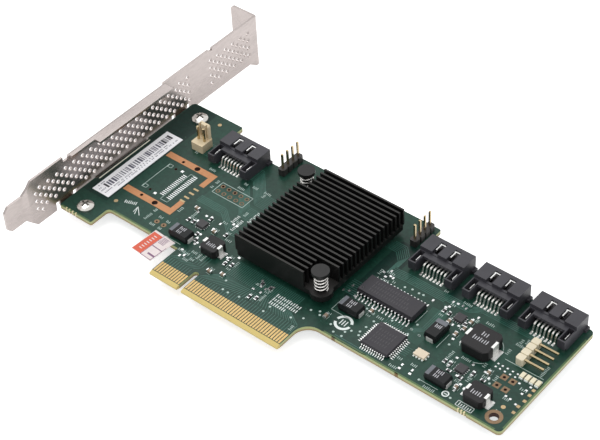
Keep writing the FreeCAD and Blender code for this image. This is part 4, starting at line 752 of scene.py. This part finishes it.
def run(shape, start, end, tall, levels, pitch=0.58, width=0.2):
    """Plain ticks in a row, where a real part has lettering."""
    along = Vector(end) - Vector(start)
    count = max(1, round(along.length / pitch))
    step = along / count
    across = Vector((-step.y, step.x)).normalized()
    for index in range(count):
        foot = Vector(start) + step * (index + 0.5)
        top = foot + across * tall * TICK_SHARES[index % len(TICK_SHARES)]
        shape.bar(tuple(foot), tuple(top), width, *levels)


print_frame(prints, copper_high.x + 3.3, copper_low.y + 16.35, copper_high.x + 16.15, copper_low.y + 21.7,
            OUTLINE)
print_line((copper_low.x + 3.95, copper_low.y + 4.75), (copper_low.x + 3.95, copper_low.y + 18.1))
for limits in ((13.05, 3.8, 15.95, 18.4), (4.15, 16.7, 5.65, 18.1), (4.15, 4.8, 5.65, 6.2)):
    print_frame(prints, *shifted("copper", *limits))
print_line((lamps_low.x - 7.1, lamps_low.y + 3.5), (lamps_high.x - 0.6, lamps_low.y + 3.6))
for low, high in (tantalums[0], tantalums[3]):
    print_line((low.x - 0.9, high.y + 0.9), (high.x - 1.8, high.y + 0.9))
    print_line((low.x - 0.6, low.y - 0.7), (high.x - 1.8, low.y - 0.7))
low, high = tantalums[1]
print_line((low.x - 1.6, high.y + 0.9), (low.x - 1.6, low.y - 0.9), (high.x - 1.8, low.y - 0.9))
low, high = tantalums[2]
print_line((high.x + 0.8, low.y - 0.6), (high.x + 0.8, high.y - 1.6))
CHOKE_RING = 6.3
for start, sweep in ((-78, 30), (168, 44), (26, 30)):
    prints.ring(ANCHORS["choke_b"].x, ANCHORS["choke_b"].y, CHOKE_RING, CHOKE_RING + OUTLINE, *PRINT,
                start, sweep, 48)
print_line((memory_high.x + 0.5, memory_low.y + 1.2), (memory_high.x + 0.5, memory_high.y - 0.4), width=THIN)

# Rows of ticks, each as the steps of its start and its end from an anchor.
RUNS = (
    ("copper", ((15.9, -6.3, 16.1, -2.9), (15.9, -1.9, 16.1, -0.4), (18.1, -6.9, 20.2, -6.9),
        (21.6, -6.9, 23.1, -6.9), (18.4, -2.9, 20.2, -2.9), (21.8, -3.1, 23.4, -3.1), (22.2, 2.7, 22.2, 5.2),
        (6.5, 27.2, 7.9, 27.2), (15.9, 23.9, 18.6, 23.9), (22.9, 20.0, 22.9, 21.7),
        (22.9, 17.4, 22.9, 18.7))),
    ("receptacle_a", ((16.3, -3.4, 19.1, -3.4), (16.9, -0.9, 18.4, -0.9), (20.1, -0.5, 22.3, -0.5),
        (24.8, -0.3, 27.7, -0.3), (26.3, -2.4, 26.3, -0.7))),
    ("tantalum_a", ((-2.9, -4.2, 0.6, -4.2), (2.6, -4.9, 5.0, -4.9))),
    ("regulator_a", ((4.0, 4.8, 6.0, 4.8), (-4.9, 1.1, -4.9, 3.9))),
    ("choke_a", ((-1.4, -6.0, -1.4, -2.7), (0.2, -5.9, 0.2, -2.5), (10.2, -1.6, 10.2, 1.0),
        (-0.6, 5.7, 2.0, 5.7), (-2.3, 17.4, -2.3, 19.5), (-3.0, 13.9, -0.8, 13.9), (-7.0, -6.4, -4.6, -6.4),
        (-5.4, -8.6, -3.2, -8.6), (-5.2, -4.6, -3.0, -4.6), (-3.6, -7.4, -1.8, -7.4))),
    ("sink", ((17.7, -10.2, 17.7, -7.4), (21.4, -8.6, 21.4, -5.4), (21.5, -4.0, 21.5, -2.6),
        (16.5, -4.0, 16.5, -3.0), (36.2, -12.3, 36.2, -10.1))),
    ("logic", ((-3.0, 11.4, -0.4, 11.4), (16.4, 2.5, 18.6, 2.5), (11.4, -1.5, 14.4, -1.5),
        (11.7, 2.2, 13.6, 2.2))),
    ("memory", ((0.4, 10.4, 0.4, 13.0), (1.4, 12.7, 4.4, 12.7), (2.2, 9.2, 4.6, 9.2), (5.2, 10.2, 6.6, 10.2),
        (7.8, -4.0, 9.6, -4.0))),
    ("regulator_b", ((-10.7, 6.4, -9.1, 6.4), (-3.3, 5.9, -0.1, 5.9), (-5.9, 3.0, -4.0, 3.0),
        (6.8, 3.2, 9.9, 3.2), (4.9, 1.5, 4.9, 3.1))),
    ("choke_b", ((-2.4, -6.9, 0.9, -6.9), (7.6, 1.9, 7.6, 4.5), (7.1, 6.8, 9.9, 6.8))),
    ("regulator_c", ((-5.5, -0.7, -5.5, 4.6), (5.9, 1.5, 8.7, 1.5), (4.7, 4.5, 4.7, 6.5),
        (4.1, -2.9, 4.1, -0.9))),
    ("tantalum_d", ((-2.4, -4.5, 1.6, -4.5),)),
    ("choke_c", ((5.3, 4.3, 7.5, 4.3), (6.2, -0.9, 8.2, -0.9), (0.2, 8.0, 0.2, 10.5),
        (5.0, -0.3, 5.0, 0.9))),
    ("lamps", ((2.4, -3.5, 5.0, -3.5), (-5.2, 11.8, -5.2, 14.0), (-6.8, 11.0, -6.8, 13.0),
        (5.0, 3.4, 5.0, 8.6))),
)
for anchor, rows in RUNS:
    for row in rows:
        ends_of_row = shifted(anchor, *row)
        run(prints, ends_of_row[:2], ends_of_row[2:], TICK_HEIGHT, PRINT)

# Two lines along each small part, and a short row of ticks beside most of them.
CLEAR = 0.38
MARKED_SHARE = 0.6
for low, high in solids("chip_capacitors") + solids("chip_resistors"):
    if high.x - low.x > high.y - low.y:
        for y in (low.y - CLEAR, high.y + CLEAR):
            print_line((low.x - 0.1, y), (high.x + 0.1, y), width=FINE)
    else:
        for x in (low.x - CLEAR, high.x + CLEAR):
            print_line((x, low.y - 0.1), (x, high.y + 0.1), width=FINE)
    if random.random() < MARKED_SHARE:
        foot = (low.x - 0.4, high.y + 0.7) if random.random() < 0.5 else (low.x - 0.4, low.y - 1.5)
        run(prints, foot, (foot[0] + 1.7, foot[1]), 0.75, PRINT, 0.5, 0.16)

# Printed spots, as steps from an anchor.
SPOT_RADIUS = 0.38
DOTS = (
    ("choke_a", ((13.5, -10.8), (11.8, -7.4), (15.6, -10.9), (19.5, -10.2))),
    ("sink", ((24.8, -11.0), (25.2, -8.4), (35.8, -2.0), (39.2, -2.0), (38.3, -0.8), (36.2, -6.0),
        (33.0, -8.0))),
    ("logic", ((-2.7, 6.4), (-5.2, 2.6), (-6.4, 1.1), (-3.0, 3.9), (-2.4, 2.5), (-6.2, -0.8), (-9.2, -0.9),
        (0.3, 10.1), (-2.3, 9.6), (8.7, 11.6), (1.8, 13.1), (8.3, 13.9), (-11.7, 1.0))),
    ("memory", ((12.2, 11.5), (16.2, 11.6), (14.7, 11.4), (22.1, 0.8), (25.2, -2.4), (6.3, -3.1),
        (9.8, 10.9))),
    ("choke_c", ((-8.3, 9.6), (4.2, 1.6), (2.8, -0.4), (-6.2, -4.5), (-17.3, -4.4), (-0.6, 6.6))),
    ("tantalum_c", ((-3.9, -3.5), (5.2, -1.1), (-7.0, -2.9))),
)
for anchor, steps in DOTS:
    for step in steps:
        prints.disc(*shifted(anchor, *step), SPOT_RADIUS, *PRINT, 12)
prints.done("silkscreen", silk, "label_white")

# Brighter print: the round mark, a small mark, wide rows, an outlined row, upright rows and a star.
bold = Shape()
ring_x, ring_y = shifted("logic", -9.0, 3.7)
for start in (20, 200):
    bold.ring(ring_x, ring_y, 2.1, 2.95, *PRINT, start, 152)
for index in range(3):
    x = ring_x - 0.9 + index * 0.9
    bold.bar((x, ring_y - 0.9), (x, ring_y + 0.9), 0.3, *PRINT)
mark_x, mark_y = shifted("choke_c", -8.2, -4.1)
bold.ring(mark_x, mark_y, 0.75, 1.15, *PRINT)
bold.bar((mark_x - 0.4, mark_y), (mark_x + 0.4, mark_y), 0.3, *PRINT)
rows_x, rows_y = shifted("sink", 23.6, -6.6)
for line, length in enumerate((9.6, 9.6, 6.4)):
    y = rows_y + 2.6 - 1.7 * line
    run(bold, (rows_x, y), (rows_x + length, y), 1.1, PRINT, 0.8, 0.3)
box_x, box_y = shifted("choke_c", -3.8, -5.6)
print_frame(bold, box_x, box_y, box_x + 5.4, box_y + 1.9, LINE)
run(bold, (box_x + 0.5, box_y + 0.45), (box_x + 5.0, box_y + 0.45), 1.0, PRINT, 0.7, 0.24)
for x_step, y_low, y_high in ((-3.6, 15.2, 20.8), (-5.6, 9.4, 15.0), (-7.8, 12.2, 16.0)):
    x, start, _, end = shifted("sink", x_step, y_low, x_step, y_high)
    run(bold, (x, start), (x, end), 0.95, PRINT, 0.62, 0.24)
spot_x, spot_y = shifted("copper", 10.0, -3.3)
run(bold, (spot_x - 5.2, spot_y - 1.2), (spot_x - 1.0, spot_y + 0.2), 1.2, PRINT, 0.6, 0.24)
for x_step, y_step in ((0.4, -2.6), (1.4, -3.1), (3.0, -2.7)):
    bold.bar((spot_x, spot_y), (spot_x + x_step, spot_y + y_step), 0.2, *PRINT)
bold.done("silkscreen_bold", bright_silk, "label_white")

# ------ labels

# The bars run across the label, from its lower end upwards; most of them are printed grey.
LABEL_TOP = on_top(label_high.z)
BAR_ENDS = (label_low.x + 1.5, label_low.x + 4.0)
code = Shape()
grey_code = Shape()
code.block(*BAR_ENDS, label_low.y + 3.4, label_low.y + 4.15, *LABEL_TOP)
y = label_low.y + 4.7
while y < label_high.y - 1.8:
    width = random.choice((0.22, 0.3, 0.42, 0.6, 0.8))
    shape = code if y > label_high.y - 5.5 else grey_code
    shape.block(*BAR_ENDS, y, y + width, *LABEL_TOP)
    y += width + random.choice((0.25, 0.35, 0.5, 0.7))
code.done("label_bars", ink, "label_white")
grey_code.done("label_grey_bars", grey_ink, "label_white")

# Rows of small ticks along the label: the middle of a row from the label's side, its start and its end.
TICK = 0.32
rows = Shape()
for x_step, start, stop in ((0.9, 2.0, 5.0), (2.2, 1.0, 2.8), (3.4, 0.8, 2.6), (4.9, 1.0, 30.0),
                            (5.8, 6.0, 34.0)):
    x = label_low.x + x_step
    y = label_low.y + start
    while y < label_low.y + stop:
        rows.block(x - 0.25, x + 0.25, y, y + TICK, *LABEL_TOP)
        y += TICK + random.choice((0.22, 0.3, 0.9))
rows.done("label_rows", pale_ink, "label_white")

STICKER_TURN = math.radians(4)


def on_sticker(x, y):
    """A place on the sticker, from its own lower left corner and its own sides."""
    wide = sticker_high.x - sticker_low.x
    tall = sticker_high.y - sticker_low.y
    tilt = -STICKER_TURN
    drop = (wide * math.cos(tilt) + tall * math.sin(tilt)) / math.cos(2 * tilt) * -math.sin(tilt)
    return (sticker_low.x + x * math.cos(tilt) - y * math.sin(tilt),
            sticker_low.y + drop + x * math.sin(tilt) + y * math.cos(tilt))


def on_sticker_box(shape, x_low, x_high, y_low, y_high, rise=INK):
    """A printed box along the sticker's own sides."""
    corners = [on_sticker(x, y) for x, y in rectangle(x_low, x_high, y_low, y_high)]
    shape.prism(corners, sticker_high.z - SUNK, sticker_high.z + rise)


# The red field, the light bars on it and the violet lines beside it.
field = Shape()
on_sticker_box(field, 0.25, 4.0, 0.25, 9.8)
field.done("sticker_field", sticker_red, "sticker_red")
light_strokes = Shape()
for index in range(7):
    on_sticker_box(light_strokes, 1.6, 2.8, 1.9 + index * 1.05, 2.25 + index * 1.05, INK * 2)
light_strokes.done("sticker_light_bars", sticker_white, "sticker_red")
strokes = Shape()
for limits in ((4.05, 4.2, 0.15, 10.4), (4.05, 8.6, 0.15, 0.35), (8.45, 8.65, 0.15, 7.0),
               (4.3, 8.6, 5.0, 5.35), (5.6, 8.5, 1.6, 2.3)):
    on_sticker_box(strokes, *limits)
for index in range(6):
    on_sticker_box(strokes, 4.6, 7.0, 7.2 + index * 0.5, 7.4 + index * 0.5)
strokes.done("sticker_lines", sticker_ink, "sticker_red")

# ------ marks on packages

INSET = 0.25         # from a capacitor's sides to its band
BAND = 1.9           # from the end of a capacitor to its band's other side
SHORT_BAND = 1.5
bands = Shape()
for low, high in tantalums:
    if high.y - low.y > high.x - low.x:
        bands.block(low.x + INSET, high.x - INSET, high.y - BAND, high.y - INSET, *on_top(high.z))
    else:
        bands.block(low.x + INSET, low.x + SHORT_BAND, low.y + INSET, high.y - INSET, *on_top(high.z))
bands.done("polarity_bands", band, "label_white")

marks = Shape()


def package_row(middle, level, x_start, x_end, y_step, tall, pitch=0.6, width=0.22):
    """A row of ticks on a small part, set off from the part's middle."""
    y = middle.y + y_step
    run(marks, (middle.x + x_start, y), (middle.x + x_end, y), tall, on_top(level), pitch, width)


for low, high in tantalums:
    middle = (low + high) / 2
    if high.y - low.y > high.x - low.x:
        package_row(middle, high.z, -1.0, 1.2, 0.0, 1.2)
    else:
        package_row(middle, high.z, -1.1, 1.4, 0.2, 1.2)
        package_row(middle, high.z, -1.1, 0.8, -1.4, 1.1)
for low, high in chokes:
    middle = (low + high) / 2
    reach = (high.x - low.x) * 0.28
    package_row(middle, high.z, -reach, reach, -1.3, 1.3, 0.75, 0.26)
    if reach > 2.2:
        package_row(middle, high.z, -reach * 0.45, reach * 0.45, 1.1, 1.4, 0.8, 0.26)
marks.done("package_marks", package_print, "label_white")

# Worn rows and the round mark of the first lead, on the two large chips.
MEMORY_TOP = (memory_high.z - SUNK, memory_high.z + INK / 2)
LOGIC_TOP = (logic_high.z - SUNK, logic_high.z + INK / 2)
faint = Shape()
for line in range(3):
    y = memory_low.y + 1.6 + line * 1.7
    run(faint, (memory_low.x + 3.0, y), (memory_high.x - 3.0 - line, y), 1.0, MEMORY_TOP, 0.9, 0.25)
for line in range(4):
    y = logic_low.y + 2.0 + line * 1.6
    run(faint, (logic_low.x + 1.6, y), (logic_high.x - 2.0, y), 0.9, LOGIC_TOP, 0.9, 0.22)
faint.ring(memory_low.x + 1.1, memory_low.y + 1.2, 0.35, 0.55, *MEMORY_TOP)
faint.ring(logic_low.x + 1.0, logic_high.y - 1.0, 0.4, 0.6, *LOGIC_TOP)
faint.done("faint_marks", faint_print, "label_white")

# The resistor network's terminals, half sunk into its sides, and the ends of the lamps.
CASTLE_HALF = 0.22
CASTLE_REACH = 0.45
TOUCH = 0.02
CASTLE_LEVELS = (-SUNK, 0.35)
LAMP_LEVELS = (-SUNK, 0.55)


def ends(low, high, inside, outside):
    """The two stretches that lie over the ends of a stretch, so far inside it and so far outside."""
    return (low - outside, low + inside), (high - inside, high + outside)


castles = Shape()
for index in range(4):
    x = cream_low.x + 0.35 + index * (cream_high.x - cream_low.x - 0.7) / 3
    for y_low, y_high in ends(cream_low.y, cream_high.y, TOUCH, CASTLE_REACH):
        castles.block(x - CASTLE_HALF, x + CASTLE_HALF, y_low, y_high, *CASTLE_LEVELS)
for index in range(2):
    y = cream_low.y + 0.8 + index * 1.2
    for x_low, x_high in ends(cream_low.x, cream_high.x, TOUCH, CASTLE_REACH):
        castles.block(x_low, x_high, y - CASTLE_HALF, y + CASTLE_HALF, *CASTLE_LEVELS)
for low, high in solids("status_lamps"):
    for y_low, y_high in ends(low.y, high.y, 0.12, 0.3):
        castles.block(low.x, high.x, y_low, y_high, *LAMP_LEVELS)
castles.done("part_terminals", bright_silk, "tin")

# ------ solder on the underside

JOINT_RADIUS = 0.95
JOINT_HEIGHT = 0.8
joints = Shape()
for node_name in ("led_header_1_pins", "led_header_2_pins", "side_header_pins", "lock_header_pins"):
    for low, high in solids(node_name):
        half = (high.y - low.y) / 2
        joints.dome(low.x + half, low.y + half, JOINT_RADIUS, UNDERSIDE + SUNK, UNDERSIDE - JOINT_HEIGHT)
joints.done("solder_joints", solder, "tin")

# ------ floor, light and camera

FLOOR_REACH = 1.5            # metres to each side
FLOOR_PAINT = (0.86, 0.86, 0.86)
FLOOR_GLOW = 0.6             # light of its own that the camera sees
SKY_LIGHT = 0.70             # what the white surroundings give off
SKY_SEEN = 1.0               # and how bright they look
LAMP_TARGET = (0.02, 0.03, 0.0)    # metres


def white_rays(tree, otherwise, seen_strength):
    """seen_strength for camera, glossy and transmission rays, and otherwise for the light itself."""
    path = tree.nodes.new("ShaderNodeLightPath")
    straight = maths(tree, path.outputs["Is Camera Ray"], "MAXIMUM", path.outputs["Is Glossy Ray"])
    seen = maths(tree, straight, "MAXIMUM", path.outputs["Is Transmission Ray"])
    return ranged(tree, seen, target=(otherwise, seen_strength))


def glow_for_camera(material, strength):
    """A little light of its own, for camera and glossy rays only, so that a pale floor reads as white."""
    tree = material.node_tree
    shader = tree.nodes["Principled BSDF"]
    shader.inputs["Emission Color"].default_value = WHITE
    tree.links.new(white_rays(tree, 0.0, strength), shader.inputs["Emission Strength"])


floor_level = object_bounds()[0].z
floor_mesh = bpy.data.meshes.new("floor")
floor_corners = rectangle(-FLOOR_REACH, FLOOR_REACH, -FLOOR_REACH, FLOOR_REACH)
floor_mesh.from_pydata([(x, y, floor_level) for x, y in floor_corners], [], [(0, 1, 2, 3)])
floor = bpy.data.objects.new("floor", floor_mesh)
bpy.context.scene.collection.objects.link(floor)
floor_paint = surface("floor_paint", FLOOR_PAINT, 0.9, 0.01, 8.0, 0.01, specular=0.2)
glow_for_camera(floor_paint, FLOOR_GLOW)
floor_mesh.materials.append(floor_paint)

world = bpy.data.worlds.new("studio")
bpy.context.scene.world = world
world.use_nodes = True
background = world.node_tree.nodes["Background"]
background.inputs["Color"].default_value = WHITE
world.node_tree.links.new(white_rays(world.node_tree, SKY_LIGHT, SKY_SEEN), background.inputs["Strength"])


def lamp(name, place, side, power):
    """A square lamp that shines on the part; lengths in metres, power in watts."""
    data = bpy.data.lights.new(name, "AREA")
    data.size = side
    data.energy = power
    light = bpy.data.objects.new(name, data)
    light.location = place
    light.rotation_euler = (Vector(LAMP_TARGET) - Vector(place)).to_track_quat("-Z", "Y").to_euler()
    bpy.context.scene.collection.objects.link(light)


lamp("key", (-0.25, 0.10, 0.75), 0.8, 3.5)
lamp("fill", (0.6, -0.35, 0.45), 0.5, 1.0)

# Where the camera stands: angles in radians, the rest in millimetres, the shift as a share of the sensor.
AZIMUTH = 0.72968
ELEVATION = 0.75068
ROLL = -0.054956
TARGET = Vector((10.951, 46.822, 0.0))
DISTANCE = 539.54
FOCAL_LENGTH = 102.99
SENSOR_WIDTH = 36.0
SHIFT = (-0.00785, -0.00078)
back = Vector((math.sin(AZIMUTH) * math.cos(ELEVATION), -math.cos(AZIMUTH) * math.cos(ELEVATION),
               math.sin(ELEVATION)))
right = (-back).cross(Vector((0, 0, 1))).normalized()
up = right.cross(-back)
camera_right = right * math.cos(ROLL) + up * math.sin(ROLL)
camera_up = up * math.cos(ROLL) - right * math.sin(ROLL)
camera_data = bpy.data.cameras.new("camera")
camera_data.lens = FOCAL_LENGTH
camera_data.sensor_width = SENSOR_WIDTH
camera_data.shift_x, camera_data.shift_y = SHIFT
camera = bpy.data.objects.new("camera", camera_data)
place = (TARGET + back * DISTANCE) * MM
camera.matrix_world = Matrix((
    (camera_right.x, camera_up.x, back.x, place.x), (camera_right.y, camera_up.y, back.y, place.y),
    (camera_right.z, camera_up.z, back.z, place.z), (0, 0, 0, 1)))
bpy.context.scene.collection.objects.link(camera)
bpy.context.scene.camera = camera
bpy.context.scene.view_settings.view_transform = "Standard"
